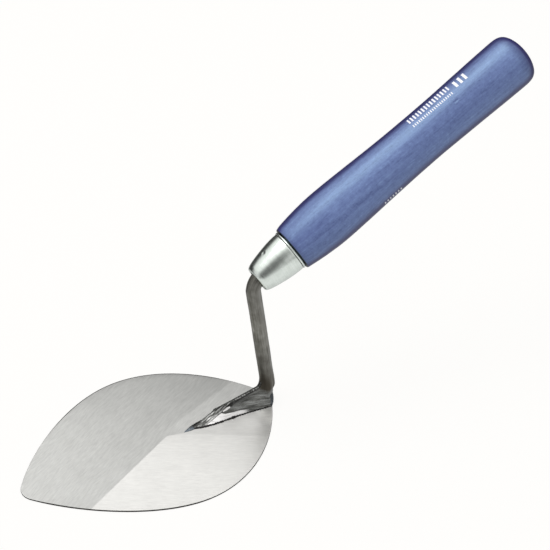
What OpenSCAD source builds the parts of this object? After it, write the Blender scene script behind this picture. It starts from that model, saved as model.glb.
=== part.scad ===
// Bricklayer's leaf trowel: a ground steel blade, a forged cranked neck welded to it,
// a drawn steel ferrule and a turned wooden handle.
// Millimetres. +Z up, +X towards the blade's tip, the handle rises towards -X.
// Origin: on the blade's underside, on its centreline, below the neck.

/* [Blade] */
// Length of the blade, heel point to tip
blade_l = 160; // [140:1:200]
// Width of the blade at its widest
blade_w = 118.6; // [100:0.2:130]
// Thickness of the steel sheet
blade_t = 0.8; // [0.6:0.1:2]
// Distance from the tip to the widest place, as a share of the length
belly_at = 0.545; // [0.48:0.005:0.6]
// Radius of the rounded tip
tip_r = 10; // [6:0.2:14]
// Angle of the side as it leaves the tip, from the centreline
tip_angle = 54; // [45:1:60]
// Angle of the side where it reaches the heel point, from the centreline
heel_angle = 69; // [62:0.5:72]
// Distance from the heel point forward to the origin below the neck
heel_to_origin = 8; // [6:0.5:12]

/* [Neck] */
// Diameter of the round bar
rod_d = 8.6; // [7:0.1:10]
// Lean of the upright leg towards the tip
leg_lean = 5.24; // [2:0.02:8]
// Angle of the tang and the handle above the blade
handle_pitch = 26.26; // [20:0.02:32]
// Height of the corner where leg and tang lines cross, above the blade's top
crank_h = 84.9; // [70:0.5:100]
// Forward place of that corner from the origin
crank_x = 0.4; // [0:0.1:4]
// Radius of the bend on the bar's centreline
bend_r = 8.5; // [6:0.1:9]
// Length of round bar that enters the handle
tang_round_l = 26; // [20:1:34]
// Length of the square taper beyond it
tang_taper_l = 52; // [30:1:70]
// Width across the corners of the taper's end
tang_end_d = 4; // [3:0.1:6]

/* [Foot] */
// Length of the forged foot along the blade
foot_l = 53; // [44:1:58]
// Half width at the waist of the foot
foot_mid_w = 5.9; // [5:0.1:7]
// Half width where the foot meets the heel
foot_heel_w = 10.2; // [8:0.1:12]
// Height of the ridge at the waist
foot_mid_h = 5.6; // [5:0.1:8]
// Rise of the ridge towards the neck, per millimetre
foot_rise = 0.15; // [0.1:0.01:0.2]
// Radius of the fillet between ridge and leg
foot_fillet = 5.5; // [3:0.1:7]
// Roundness of the foot's section: 1 is a plain roof, 2 is an ellipse
foot_round = 1.25; // [1.1:0.05:1.6]
// How far the foot's back face stands in from the heel point
foot_back = 1.2; // [0.8:0.1:2]

/* [Welds] */
// Leg length of the weld runs beside the foot
weld_leg = 0.8; // [0.6:0.1:1.2]
// Length of the weld pool in front of the toe
weld_toe_l = 5; // [4:0.5:7]
// Radius of the weld run across the heel
weld_heel_r = 2.1; // [2:0.1:2.9]

/* [Ferrule] */
// Length of the ferrule
ferrule_l = 25.6; // [22:0.1:30]
// Outside diameter just behind its front corner
ferrule_front_d = 17.3; // [17:0.1:20]
// Outside diameter in front of the collar
ferrule_rear_d = 24.3; // [23:0.1:24.6]
// Outside diameter of the rolled collar
collar_d = 25.1; // [24.8:0.1:26.4]
// Width of the rolled collar
collar_l = 1.2; // [1:0.1:2]
// Thickness of the drawn sheet
ferrule_t = 1.0; // [0.8:0.1:1.2]
// Radius of the front corner
ferrule_corner = 2; // [1.6:0.1:2.6]
// Clearance around the bar in the ferrule's front hole, where the bend still passes through
hole_gap = 1.3; // [1.2:0.05:1.6]
// Distance from the crank corner to the ferrule's front face
ferrule_at = 3.1; // [2.8:0.1:5]
// Depth of the punch mark that grips the wood
punch_depth = 0.45; // [0.2:0.05:0.6]

/* [Handle] */
// Length of the visible wooden handle
handle_l = 173.2; // [150:0.1:190]
// Diameter at the front shoulder
shoulder_d = 27.4; // [26.6:0.1:28.6]
// Diameter of the front swell
swell_d = 32.5; // [30:0.1:35]
// Diameter of the waist
waist_d = 29.3; // [28:0.1:32]
// Diameter of the rear swell
butt_d = 31.5; // [30:0.1:34]
// Length of the domed end
dome_l = 12; // [10:0.5:16]
// Gap between collar and shoulder
shoulder_gap = 0.6; // [0.3:0.1:1]
// Length of the reduced spigot inside the ferrule
spigot_l = 22.5; // [18:0.5:24]

/* [Hidden] */
$fn = 96;

tip_x = blade_l - heel_to_origin;
heel_x = -heel_to_origin;
rod_r = rod_d / 2;

// Skins a list of sections, each a closed ring with the same number of points
module loft(sections) {
    ring = len(sections[0]);
    count = len(sections);
    polyhedron(
        points = [for (section = sections) each section],
        faces = concat(
            [[for (j = [0 : ring - 1]) j]],
            [for (i = [0 : count - 2])
                for (j = [0 : ring - 1])
                    let (k = (j + 1) % ring, here = i * ring, next = here + ring)
                        each [[here + j, next + j, next + k], [here + j, next + k, here + k]]],
            [[for (j = [ring - 1 : -1 : 0]) (count - 1) * ring + j]]
        )
    );
}

// ---------------------------------------------------------------- blade

belly = [tip_x - belly_at * blade_l, blade_w / 2];
heel = [heel_x, 0];
tip_arc = 90 - tip_angle;

// Lengths of the control arms of the side's two curves
tip_pull = 0.1768 * blade_l;
belly_front_pull = 0.1993 * blade_l;
belly_rear_pull = 0.2312 * blade_l;
heel_pull = 0.153 * blade_l;

// Point on the rounded tip, at an angle from the centreline
function tip_point(angle) = [tip_x - tip_r + tip_r * cos(angle), tip_r * sin(angle)];

// Points on a cubic curve, without its start point
function curve(start, control_1, control_2, end, steps) =
    [for (i = [1 : steps]) let (t = i / steps)
        pow(1 - t, 3) * start + 3 * pow(1 - t, 2) * t * control_1
            + 3 * (1 - t) * t * t * control_2 + pow(t, 3) * end];

// Left half of the outline, from the tip back to the heel
half_outline = concat(
    [for (i = [0 : 9]) tip_point(tip_arc * i / 9)],
    curve(
        tip_point(tip_arc),
        tip_point(tip_arc) + tip_pull * [-cos(tip_angle), sin(tip_angle)],
        belly + [belly_front_pull, 0],
        belly,
        steps = 30),
    curve(
        belly,
        belly - [belly_rear_pull, 0],
        heel + heel_pull * [cos(heel_angle), sin(heel_angle)],
        heel,
        steps = 31)
);

module blade() {
    right_half = [for (i = [len(half_outline) - 2 : -1 : 1])
        [half_outline[i][0], -half_outline[i][1]]];
    color([0.78, 0.79, 0.78])
    linear_extrude(height = blade_t) polygon(concat(half_outline, right_half));
}

// ---------------------------------------------------------------- foot of the neck
// "behind" is a distance back from the foot's toe.

tip_to_weld = 101.3 * blade_l / 160;
foot_toe_x = tip_x - tip_to_weld - weld_toe_l;
foot_toe_w = 2.2; // half width at the toe
foot_toe_h = 0.6;
foot_mid = 20; // place of the waist behind the toe
foot_back_x = heel_x + foot_back;

// Front of the leg, taken at this height above the blade
leg_front_h = 14;
leg_front = foot_toe_x
    - (crank_x - crank_h * tan(leg_lean) + leg_front_h * tan(leg_lean) + rod_r);
fillet_start = leg_front - foot_fillet;
fillet_end = leg_front - 0.05; // just short of the leg, where the fillet stands upright

function foot_w(behind) = behind < foot_mid
    ? foot_toe_w + (foot_mid_w - foot_toe_w) * (1 - pow(1 - behind / foot_mid, 2))
    : foot_mid_w + (foot_heel_w - foot_mid_w)
        * pow((behind - foot_mid) / (foot_l + 1 - foot_mid), 1.6);

function ridge(behind) = behind < foot_mid
    ? foot_toe_h + (foot_mid_h - foot_toe_h) * pow(behind / foot_mid, 1.35)
    : foot_mid_h + foot_rise * (behind - foot_mid);

// Height of the foot: the ridge, then the fillet, then a level top inside the leg
function foot_h(behind) = behind < fillet_start
    ? ridge(behind)
    : behind < fillet_end
        ? ridge(fillet_start) + foot_fillet
            - sqrt(max(0, foot_fillet * foot_fillet
                - (behind - fillet_start) * (behind - fillet_start)))
        : ridge(fillet_start) + foot_fillet * 0.85;

// Heights up the flank at which a section has its corners, as shares of the ridge height
flank = [0, 0.16, 0.34, 0.52, 0.68, 0.82, 0.93, 1];

// Half width at a share of the ridge height, as a share of the half width at the bottom
function flank_w(share) = pow(max(0, 1 - pow(share, foot_round)), 1 / foot_round);

// One roof section at x, from the right edge over the ridge to the left edge
function roof(x, half_w, height) = concat(
    [for (share = flank) [x, -half_w * flank_w(share), blade_t + height * share]],
    [for (i = [len(flank) - 2 : -1 : 0])
        [x, half_w * flank_w(flank[i]), blade_t + height * flank[i]]]
);

// Places of the foot's sections behind the toe
stations = concat(
    [for (behind = [0 : 2 : fillet_start - 0.5]) behind],
    [for (i = [0 : 4]) fillet_start + (fillet_end - fillet_start) * sin(90 * i / 4)],
    [leg_front + 1, foot_l + 6]
);

// Plan wedge that trims the back of the foot parallel to the heel
module back_wedge() {
    side_l = 80;
    side = [foot_back_x + side_l * cos(heel_angle), side_l * sin(heel_angle)];
    front = [foot_back_x + 120, 60];
    translate([0, 0, -1]) linear_extrude(height = 40)
        polygon([[foot_back_x, 0], [side[0], -side[1]], [front[0], -front[1]], front, side]);
}

module foot() {
    intersection() {
        loft([for (behind = stations) roof(foot_toe_x - behind, foot_w(behind), foot_h(behind))]);
        back_wedge();
    }
}

// ---------------------------------------------------------------- neck

corner_z = blade_t + crank_h;
turn = 90 - handle_pitch + leg_lean;
bend_tangent = bend_r * tan(turn / 2); // from the crank corner to either end of the bend
// Start and centre of the bend, as [x, z]
bend_start = [crank_x - bend_tangent * sin(leg_lean), corner_z - bend_tangent * cos(leg_lean)];
bend_centre = bend_start + bend_r * [-cos(leg_lean), sin(leg_lean)];
bend_lap = 0.4; // overlap of the straight bars with the bend
bend_swell = 0.03; // extra radius of the bar in the bend

leg_base_h = 4.5; // height of the leg's lower end above the blade's top
leg_l = (bend_start[1] - blade_t - leg_base_h) / cos(leg_lean);
leg_cone_l = 7;
leg_cone_lap = 0.05;
leg_foot_r = rod_r - 0.9;

tang_start = ferrule_at + ferrule_l - spigot_l;
tang_round_end = tang_start + tang_round_l;

// Places its children with +Z along the handle's axis, z = 0 at the crank corner
module on_handle_axis() {
    translate([crank_x, 0, corner_z]) rotate([0, -90 + handle_pitch, 0]) children();
}

// Upright leg, narrowed to a cone at its lower end
module leg() {
    translate([bend_start[0], 0, bend_start[1]]) rotate([0, leg_lean, 0])
        translate([0, 0, -leg_l]) {
            cylinder(h = leg_cone_l, r1 = leg_foot_r, r2 = rod_r);
            translate([0, 0, leg_cone_l - leg_cone_lap])
                cylinder(h = leg_l - leg_cone_l + leg_cone_lap + bend_lap, r = rod_r);
        }
}

module bend() {
    translate([bend_centre[0], 0, bend_centre[1]]) rotate([90, 0, 0]) rotate([0, 0, -leg_lean])
        rotate_extrude(angle = turn) translate([bend_r, 0]) circle(r = rod_r + bend_swell);
}

// Square taper of the tang, enlarged by a gap for its socket in the wood
module taper(gap) {
    translate([0, 0, tang_round_end - 0.01]) rotate([0, 0, 45])
        cylinder(h = tang_taper_l + gap, d1 = rod_d * 0.92 + 2 * gap, d2 = tang_end_d + 2 * gap,
                 $fn = 4);
}

module neck() {
    color([0.33, 0.31, 0.29]) union() {
        foot();
        leg();
        bend();
        on_handle_axis() {
            translate([0, 0, bend_tangent - bend_lap])
                cylinder(h = tang_round_end - bend_tangent + bend_lap, r = rod_r);
            taper(0);
        }
    }
}

// ---------------------------------------------------------------- welds

// Low pool of filler that runs out in front of the toe
module weld_toe() {
    front_w = 0.25;
    front_h = 0.15;
    color([0.36, 0.38, 0.40])
    loft([for (i = [0 : 6]) let (share = i / 6)
        roof(foot_toe_x + weld_toe_l * (1 - share),
             front_w + (foot_toe_w - front_w) * pow(share, 0.8),
             front_h + (foot_toe_h - front_h) * pow(share, 0.9))]);
}

// The runs beside the foot end short of the foot's length
run_stations = [for (behind = stations) if (behind <= foot_l - 1.5) behind];
run_last = len(run_stations) - 1;

// Leg of the run at a station: it fades at both ends and ripples between them
function run_leg(i) =
    weld_leg * (0.45 + 0.55 * min(1, i / 4, (run_last - i) / 3)) * (1 + 0.08 * sin(i * 137));

// Section of the run, from the foot outwards; side is 1 for left (+Y), -1 for right
function run_section(i, side) = let (
        behind = run_stations[i],
        x = foot_toe_x - behind,
        half_w = foot_w(behind),
        height = foot_h(behind) * flank[1],
        leg = run_leg(i))
    [[x, side * half_w, blade_t],
     [x, side * half_w * flank_w(flank[1]), blade_t + height],
     [x, side * (half_w + 0.55 * leg), blade_t + 0.42 * min(leg, height + 0.4)],
     [x, side * (half_w + leg), blade_t]];

// Thin run beside the foot; its inner face lies on the foot's lowest flank
module weld_run(side) {
    // The right run's sections are reversed so that its faces point outwards
    order = side > 0 ? [0, 1, 2, 3] : [3, 2, 1, 0];
    color([0.22, 0.22, 0.23])
    loft([for (i = [0 : run_last]) let (section = run_section(i, side))
        [for (j = order) section[j]]]);
}

module weld_left() weld_run(1);
module weld_right() weld_run(-1);

// Quarter-round run across the heel behind the foot's back face, thinner at its ends
module weld_heel() {
    reach = 9.6; // length of each arm
    steps = 6;
    color([0.30, 0.31, 0.33])
    loft([for (i = [-steps : steps]) let (
            share = abs(i) / steps,
            inner = [foot_back_x, 0]
                + reach * share * [cos(heel_angle), sign(i) * sin(heel_angle)],
            outward = i == 0
                ? [-1 / sin(heel_angle), 0]
                : [-sin(heel_angle), sign(i) * cos(heel_angle)],
            radius = weld_heel_r * (1 - 0.75 * pow(share, 2.5)))
        [for (angle = [0 : 18 : 90]) let (place = inner + outward * radius * cos(angle))
            [place[0], place[1], blade_t + radius * sin(angle)],
         [inner[0], inner[1], blade_t]]]);
}

// ---------------------------------------------------------------- ferrule
// Profiles are [radius, z], with z measured back from the ferrule's front face.

body_l = ferrule_l - collar_l;
collar_r = collar_d / 2;
hole_r = rod_r + hole_gap;
corner_r = ferrule_front_d / 2 - ferrule_corner; // radius of the flat front face

// Outside radius of the body, a flaring curve behind the front corner
function ferrule_r(z) =
    let (share = max(0, (z - ferrule_corner) / (body_l - ferrule_corner)))
    ferrule_front_d / 2
        + (ferrule_rear_d - ferrule_front_d) / 2 * (1.67 * share - 0.67 * share * share);
function bore_r(z) = ferrule_r(z) - ferrule_t;

// Places from start to the front of the collar, in ten steps
function body_places(start) = [for (i = [0 : 10]) start + (body_l - start) * i / 10];

module ferrule() {
    outer = concat(
        [[hole_r, 0]],
        [for (i = [0 : 5]) let (angle = 90 * i / 5)
            [corner_r + ferrule_corner * sin(angle), ferrule_corner * (1 - cos(angle))]],
        [for (z = body_places(ferrule_corner + 0.4)) [ferrule_r(z), z]],
        [[collar_r - 0.25, body_l + 0.1],
         [collar_r, body_l + 0.4],
         [collar_r, ferrule_l - 0.35],
         [collar_r - 0.3, ferrule_l]]);
    bore = body_places(ferrule_corner);
    inner = concat(
        [[bore_r(body_l) + 0.25, ferrule_l]],
        [for (i = [10 : -1 : 0]) [bore_r(bore[i]), bore[i]]],
        [[corner_r, ferrule_t], [hole_r, ferrule_t]]);
    punch_r = 2.2;
    punch_z = 12;
    punch_turn = -9; // from the top of the ferrule, to the right
    color([0.84, 0.87, 0.85]) on_handle_axis() translate([0, 0, ferrule_at])
    difference() {
        rotate_extrude() polygon(concat(outer, inner));
        rotate([0, 0, punch_turn])
            translate([ferrule_r(punch_z) + punch_r - punch_depth, 0, punch_z])
                sphere(r = punch_r, $fn = 32);
    }
}

// ---------------------------------------------------------------- handle
// "back" is a distance behind the front shoulder.

body_end = handle_l - dome_l;
edge_l = 1.2; // length of the shoulder's rounded edge
edge_h = 0.5; // and its depth
swell_at = 28;
waist_at = 101;
rear_at = min(161, body_end - 1);
shoulder_z = ferrule_l + shoulder_gap;
spigot_z = shoulder_z - spigot_l;
spigot_gap = 0.12; // between the spigot and the ferrule's bore

// Places of the turned profile's points
wood_stations = [
    0, 0.15, 0.4, 0.8, 1.2, 3, 6, 9, 12, 16, 20, 24, 28, 34, 40, 46, 52, 58, 64, 70,
    76, 82, 88, 94, 100, 106, 112, 118, 124, 130, 136, 142, 148, 154, 160
];

// Radius of the wood from the shoulder's edge over swell and waist to the rear swell
function wood_r(back) =
    back < edge_l
        ? shoulder_d / 2 - edge_h + edge_h * sqrt(max(0, 1 - pow(1 - back / edge_l, 2)))
    : back < swell_at
        ? swell_d / 2 - (swell_d - shoulder_d) / 2
            * pow(1 - (back - edge_l) / (swell_at - edge_l), 1.8)
    : back < waist_at
        ? let (share = (back - swell_at) / (waist_at - swell_at))
            waist_d / 2 + (swell_d - waist_d) / 2
                * (0.5 * pow(1 - share, 1.9) + 0.25 * (1 + cos(180 * share)))
    : waist_d / 2 + (butt_d - waist_d) / 4
        * (1 - cos(180 * (back - waist_at) / (rear_at - waist_at)));

// Domed end: a rounded corner that closes in a shallow crown
function dome_r(share) = butt_d / 2 * pow(max(0, 1 - pow(share, 2.6)), 1 / 2.5);

module wood() {
    rotate_extrude() polygon(concat(
        [[0, shoulder_z - 0.01]],
        [for (back = wood_stations) if (back < body_end - 1) [wood_r(back), back + shoulder_z]],
        [for (i = [0 : 12]) let (share = sin(90 * i / 12.6))
            [dome_r(share), body_end + dome_l * share + shoulder_z]],
        [[0, handle_l + shoulder_z]]));
}

// Reduced front end that follows the ferrule's bore and runs into the shoulder
module spigot() {
    root_z = shoulder_z + 0.5;
    rotate_extrude() polygon(concat(
        [[0, spigot_z]],
        [for (i = [0 : 8]) let (z = spigot_z + (body_l - spigot_z - 0.3) * i / 8)
            [bore_r(z) - spigot_gap, z]],
        [[bore_r(body_l) - spigot_gap, root_z], [0, root_z]]));
}

module handle() {
    socket_start = ferrule_at + spigot_z - 1;
    color([0.32, 0.42, 0.66]) on_handle_axis() difference() {
        translate([0, 0, ferrule_at]) union() {
            wood();
            spigot();
        }
        translate([0, 0, socket_start])
            cylinder(h = tang_round_end + 0.2 - socket_start, r = rod_r + 0.1);
        taper(0.15);
    }
}

blade();
neck();
weld_toe();
weld_left();
weld_right();
weld_heel();
ferrule();
handle();
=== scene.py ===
"""Leaf-shaped brick trowel: blade, forged neck, welds, ferrule and lacquered wooden handle.

Shapes are worked out in millimetres in the CAD frame and written out in metres. +X points to the
blade's tip and +Z up; the handle rises towards -X. The origin is on the blade's underside. +Y is
called the near side, since the camera stands there, and -Y the far side.
"""
import math

import bmesh
import bpy
import numpy as np
from mathutils import Matrix, Vector


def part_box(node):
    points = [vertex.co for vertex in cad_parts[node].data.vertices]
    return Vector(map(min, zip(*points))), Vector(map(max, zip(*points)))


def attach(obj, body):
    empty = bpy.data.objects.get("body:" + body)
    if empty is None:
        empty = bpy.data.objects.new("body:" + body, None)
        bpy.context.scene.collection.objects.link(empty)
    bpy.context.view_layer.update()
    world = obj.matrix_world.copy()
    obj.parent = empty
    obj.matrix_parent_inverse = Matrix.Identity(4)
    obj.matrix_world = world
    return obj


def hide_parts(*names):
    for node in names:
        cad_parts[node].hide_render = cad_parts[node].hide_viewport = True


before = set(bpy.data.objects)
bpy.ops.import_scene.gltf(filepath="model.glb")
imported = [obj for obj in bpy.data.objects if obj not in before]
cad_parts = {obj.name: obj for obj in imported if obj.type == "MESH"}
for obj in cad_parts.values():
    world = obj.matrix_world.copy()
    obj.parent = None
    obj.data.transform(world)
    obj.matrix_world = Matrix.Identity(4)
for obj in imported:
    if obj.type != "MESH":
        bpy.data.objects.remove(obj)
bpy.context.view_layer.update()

MM = 0.001


def node_box(name):
    lo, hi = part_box(name)
    return np.array(lo) / MM, np.array(hi) / MM


blade_lo, blade_hi = node_box("blade")
THICK = blade_hi[2]
TIP_X, HEEL_X = blade_hi[0], blade_lo[0]
HALF = blade_hi[1]                   # half the blade's width
LENGTH = TIP_X - HEEL_X
HEEL_A = math.radians(69)            # between the centre line and the outline at the heel
toe_lo, toe_hi = node_box("weld_toe")
TOE = toe_lo[0]                      # where the foot's toe meets the weld pool
POOL_L = toe_hi[0] - toe_lo[0]

# Handle axis: from the crank corner, rising towards -X
PITCH = math.radians(26.26)
AXIS = np.array([-math.cos(PITCH), 0.0, math.sin(PITCH)])
AXIS_TOP = np.array([math.sin(PITCH), 0.0, math.cos(PITCH)])     # towards the handle's top
AXIS_SIDE = np.array([0.0, 1.0, 0.0])
CORNER = np.array([0.4, 0.0, THICK + 84.9])
FERRULE_AT, FERRULE_L = 3.1, 25.6    # from the corner to the ferrule's front, and its length
JOINT = FERRULE_AT + FERRULE_L + 0.6     # from the corner to the handle's shoulder
SPIGOT_L = 22.5                      # the handle's part inside the ferrule
HANDLE_L = 173.2
LATHE_R = 15.0                       # nominal radius for distances round the handle


# ------------------------------------------------------------------ noise and curves

def lattice_hash(ix, iy, iz, seed):
    """Integer hash of lattice points, 0..1."""
    n = (ix * 73856093) ^ (iy * 19349663) ^ (iz * 83492791) ^ (seed * 1597334677)
    n = (n ^ (n >> 13)) & 0xFFFFFFFF
    n = (n * 1274126177) & 0xFFFFFFFF
    n = n ^ (n >> 15)
    n = (n * 2246822519) & 0xFFFFFFFF
    return ((n ^ (n >> 13)) & 0xFFFF) / 65535.0


def value_noise(points, seed):
    """Smooth value noise in 0..1; the last axis of points is x, y, z."""
    cell = np.floor(points).astype(np.int64)
    f = points - cell
    f = f * f * f * (f * (f * 6 - 15) + 10)
    out = 0.0
    for corner in np.ndindex(2, 2, 2):
        wx, wy, wz = (f[..., i] if corner[i] else 1 - f[..., i] for i in range(3))
        ix, iy, iz = (cell[..., i] + corner[i] for i in range(3))
        out = out + wx * wy * wz * lattice_hash(ix, iy, iz, seed)
    return out


def fbm(points, octaves, seed):
    """Summed value noise, about -1..1."""
    out, amp, total = 0.0, 1.0, 0.0
    for k in range(octaves):
        out = out + amp * (value_noise(points * 2 ** k, seed + 17 * k) * 2 - 1)
        total += amp
        amp *= 0.5
    return out / total


def xyz(x, y, z):
    return np.stack(np.broadcast_arrays(x, y, z), -1)


def ease(start, end, x):
    """0 at start, 1 at end, smooth between; start may be the larger."""
    t = np.clip((x - start) / (end - start), 0, 1)
    return t * t * (3 - 2 * t)


def bell(x, centre, width):
    return np.exp(-((x - centre) / width) ** 2)


def smooth_min(a, b, width):
    h = np.clip(width - np.abs(a - b), 0, None) / width
    return np.minimum(a, b) - h * h * width * 0.25


def smooth_max(a, b, width):
    return -smooth_min(-a, -b, width)


def pchip(xs, ys, x):
    """Monotone cubic through the points, so a profile keeps its shape between them."""
    xs, ys = np.asarray(xs, float), np.asarray(ys, float)
    h = np.diff(xs)
    d = np.diff(ys) / h
    m = np.zeros_like(xs)
    for k in range(1, len(xs) - 1):
        if d[k - 1] * d[k] > 0:
            w1, w2 = 2 * h[k] + h[k - 1], h[k] + 2 * h[k - 1]
            m[k] = (w1 + w2) / (w1 / d[k - 1] + w2 / d[k])
    m[0], m[-1] = d[0], d[-1]
    x = np.asarray(x, float)
    i = np.clip(np.searchsorted(xs, x) - 1, 0, len(h) - 1)
    t = np.clip((x - xs[i]) / h[i], 0, 1)
    return ((1 + 2 * t) * (1 - t) ** 2 * ys[i] + t * (1 - t) ** 2 * h[i] * m[i]
            + t * t * (3 - 2 * t) * ys[i + 1] + t * t * (t - 1) * h[i] * m[i + 1])


# ------------------------------------------------------------------ mesh tools

def make(name, verts, faces, mats, face_mat=None, smooth=True, attrs=None, sharp=None):
    """A mesh object from points in millimetres."""
    mesh = bpy.data.meshes.new(name)
    verts = np.asarray(verts, np.float64) * MM
    mesh.from_pydata(verts.tolist(), [], faces if isinstance(faces, list) else faces.tolist())
    for mat in mats:
        mesh.materials.append(mat)
    if face_mat is not None:
        mesh.polygons.foreach_set("material_index", np.asarray(face_mat, np.int32))
    mesh.polygons.foreach_set("use_smooth", np.full(len(mesh.polygons), smooth))
    for key, values in (attrs or {}).items():
        values = np.asarray(values, np.float32)
        is_vector = values.ndim == 2
        attr = mesh.attributes.new(key, "FLOAT_VECTOR" if is_vector else "FLOAT", "POINT")
        attr.data.foreach_set("vector" if is_vector else "value", values.ravel())
    mesh.validate()
    mesh.update()
    if sharp is not None:
        mesh.set_sharp_from_angle(angle=math.radians(sharp))
    ob = bpy.data.objects.new(name, mesh)
    bpy.context.scene.collection.objects.link(ob)
    return ob


def face_outwards(ob):
    bm = bmesh.new()
    bm.from_mesh(ob.data)
    bmesh.ops.recalc_face_normals(bm, faces=bm.faces)
    bm.to_mesh(ob.data)
    bm.free()
    return ob


def grid_faces(rows, cols, wrap=False):
    """Quads over a row-major grid of points; wrap closes each row."""
    i = np.arange(rows - 1)[:, None]
    j = np.arange(cols if wrap else cols - 1)[None, :]
    k = (j + 1) % cols
    a, b, c, d = i * cols + j, i * cols + k, (i + 1) * cols + k, (i + 1) * cols + j
    return np.stack(np.broadcast_arrays(a, b, c, d), -1).reshape(-1, 4)


def on_axis(dist, radius, az):
    """Points dist behind the corner on the handle axis and radius out; az is 0 on top, +Y at 90."""
    dist, radius, az = np.broadcast_arrays(dist, radius, az)
    return (CORNER + dist[..., None] * AXIS + (radius * np.cos(az))[..., None] * AXIS_TOP
            + (radius * np.sin(az))[..., None] * AXIS_SIDE)


def revolve(profile, count):
    """Grids of radius, distance and azimuth from profile rows (radius, distance)."""
    profile = np.array(profile)
    az = np.linspace(0, 2 * math.pi, count, endpoint=False)
    return np.broadcast_arrays(profile[:, :1], profile[:, 1:], az)


def arc_from(az, degrees, radius):
    """Signed arc length from the azimuth given in degrees."""
    return ((az - math.radians(degrees) + math.pi) % (2 * math.pi) - math.pi) * radius


# ------------------------------------------------------------------ node tools

MIX_SOCKETS = {"FLOAT": (2, 0), "VECTOR": (4, 1), "RGBA": (6, 2)}     # first input, output


class Nodes:
    """Adds shader nodes to a tree. Helpers return the new node's output, except new and fill."""

    def __init__(self, tree):
        self.tree = tree
        tree.nodes.clear()

    def new(self, kind, **settings):
        node = self.tree.nodes.new("ShaderNode" + kind)
        for key, value in settings.items():
            setattr(node, key, value)
        return node

    def put(self, socket, value):
        """Link a socket, or set a number or a vector; a colour gets its alpha."""
        if isinstance(value, bpy.types.NodeSocket):
            self.tree.links.new(value, socket)
        elif isinstance(value, tuple):
            is_colour = len(socket.default_value) == 4
            socket.default_value = (*value, 1.0) if is_colour else value
        else:
            socket.default_value = value

    def fill(self, node, *values):
        for socket, value in zip(node.inputs, values):
            self.put(socket, value)
        return node

    def math(self, op, a, b=0.0, c=0.0):
        return self.fill(self.new("Math", operation=op), a, b, c).outputs[0]

    def add(self, a, b):
        return self.math("ADD", a, b)

    def sub(self, a, b):
        return self.math("SUBTRACT", a, b)

    def mul(self, a, b):
        return self.math("MULTIPLY", a, b)

    def mad(self, a, b, c):
        """a * b + c in one node."""
        return self.math("MULTIPLY_ADD", a, b, c)

    def centred(self, value, swing):
        """A 0..1 value as -swing/2..swing/2."""
        return self.mad(value, swing, -swing / 2)

    def scaled(self, value, scale, offset=None):
        return self.mul(value, scale) if offset is None else self.mad(value, scale, offset)

    def total(self, first, *rest):
        """Sum of (value, scale[, offset]) terms."""
        out = self.scaled(*first)
        for term in rest:
            out = self.add(out, self.scaled(*term))
        return out

    def boost(self, value, mask, amount):
        """value times 1 + amount where mask is 1."""
        return self.mul(value, self.mad(mask, amount, 1.0))

    def vector(self, op, *values):
        node = self.fill(self.new("VectorMath", operation=op), *values)
        return node.outputs["Value" if op in ("DOT_PRODUCT", "LENGTH") else "Vector"]

    def dot(self, a, b):
        return self.vector("DOT_PRODUCT", a, b)

    def past_line(self, flat, point, normal):
        """Signed distance in plan from a line, given a point on it and its normal."""
        return self.dot(self.vector("SUBTRACT", flat, (*point, 0.0)), (*normal, 0.0))

    def split(self, vector):
        return tuple(self.fill(self.new("SeparateXYZ"), vector).outputs)

    def comb(self, x, y, z):
        return self.fill(self.new("CombineXYZ"), x, y, z).outputs[0]

    def noise(self, at, scale=1.0, detail=2.0, rough=0.5):
        node = self.new("TexNoise")
        self.put(node.inputs["Vector"], at)
        for key, value in (("Scale", scale), ("Detail", detail), ("Roughness", rough)):
            node.inputs[key].default_value = value
        return node.outputs["Fac"]

    def streaks(self, along, across, at, detail=3.0, rough=0.6):
        """Stretched noise; along and across are (value, scale[, offset]), at picks the slice."""
        return self.noise(self.comb(self.scaled(*along), self.scaled(*across), at),
                          detail=detail, rough=rough)

    def ramp(self, fac, stops):
        """Colour ramp through (position, colour) stops."""
        node = self.new("ValToRGB")
        elements = node.color_ramp.elements
        while len(elements) > 1:
            elements.remove(elements[-1])
        elements[0].position = stops[0][0]
        elements[0].color = (*stops[0][1], 1.0)
        for position, colour in stops[1:]:
            elements.new(position).color = (*colour, 1.0)
        self.put(node.inputs[0], fac)
        return node.outputs["Color"]

    def fade(self, value, start, end, low=0.0, high=1.0):
        """Smooth change from low at start to high at end."""
        node = self.new("MapRange", interpolation_type="SMOOTHSTEP")
        return self.fill(node, value, start, end, low, high).outputs[0]

    def mix(self, fac, a, b, kind="RGBA", blend="MIX"):
        node = self.new("Mix", data_type=kind, blend_type=blend)
        first, out = MIX_SOCKETS[kind]
        for socket, value in ((0, fac), (first, a), (first + 1, b)):
            self.put(node.inputs[socket], value)
        return node.outputs[out]

    def lerp(self, fac, a, b):
        return self.mix(fac, a, b, "FLOAT")

    def tint(self, colour, level):
        """Colour times a number."""
        return self.mix(1.0, colour, self.comb(level, level, level), blend="MULTIPLY")


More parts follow.
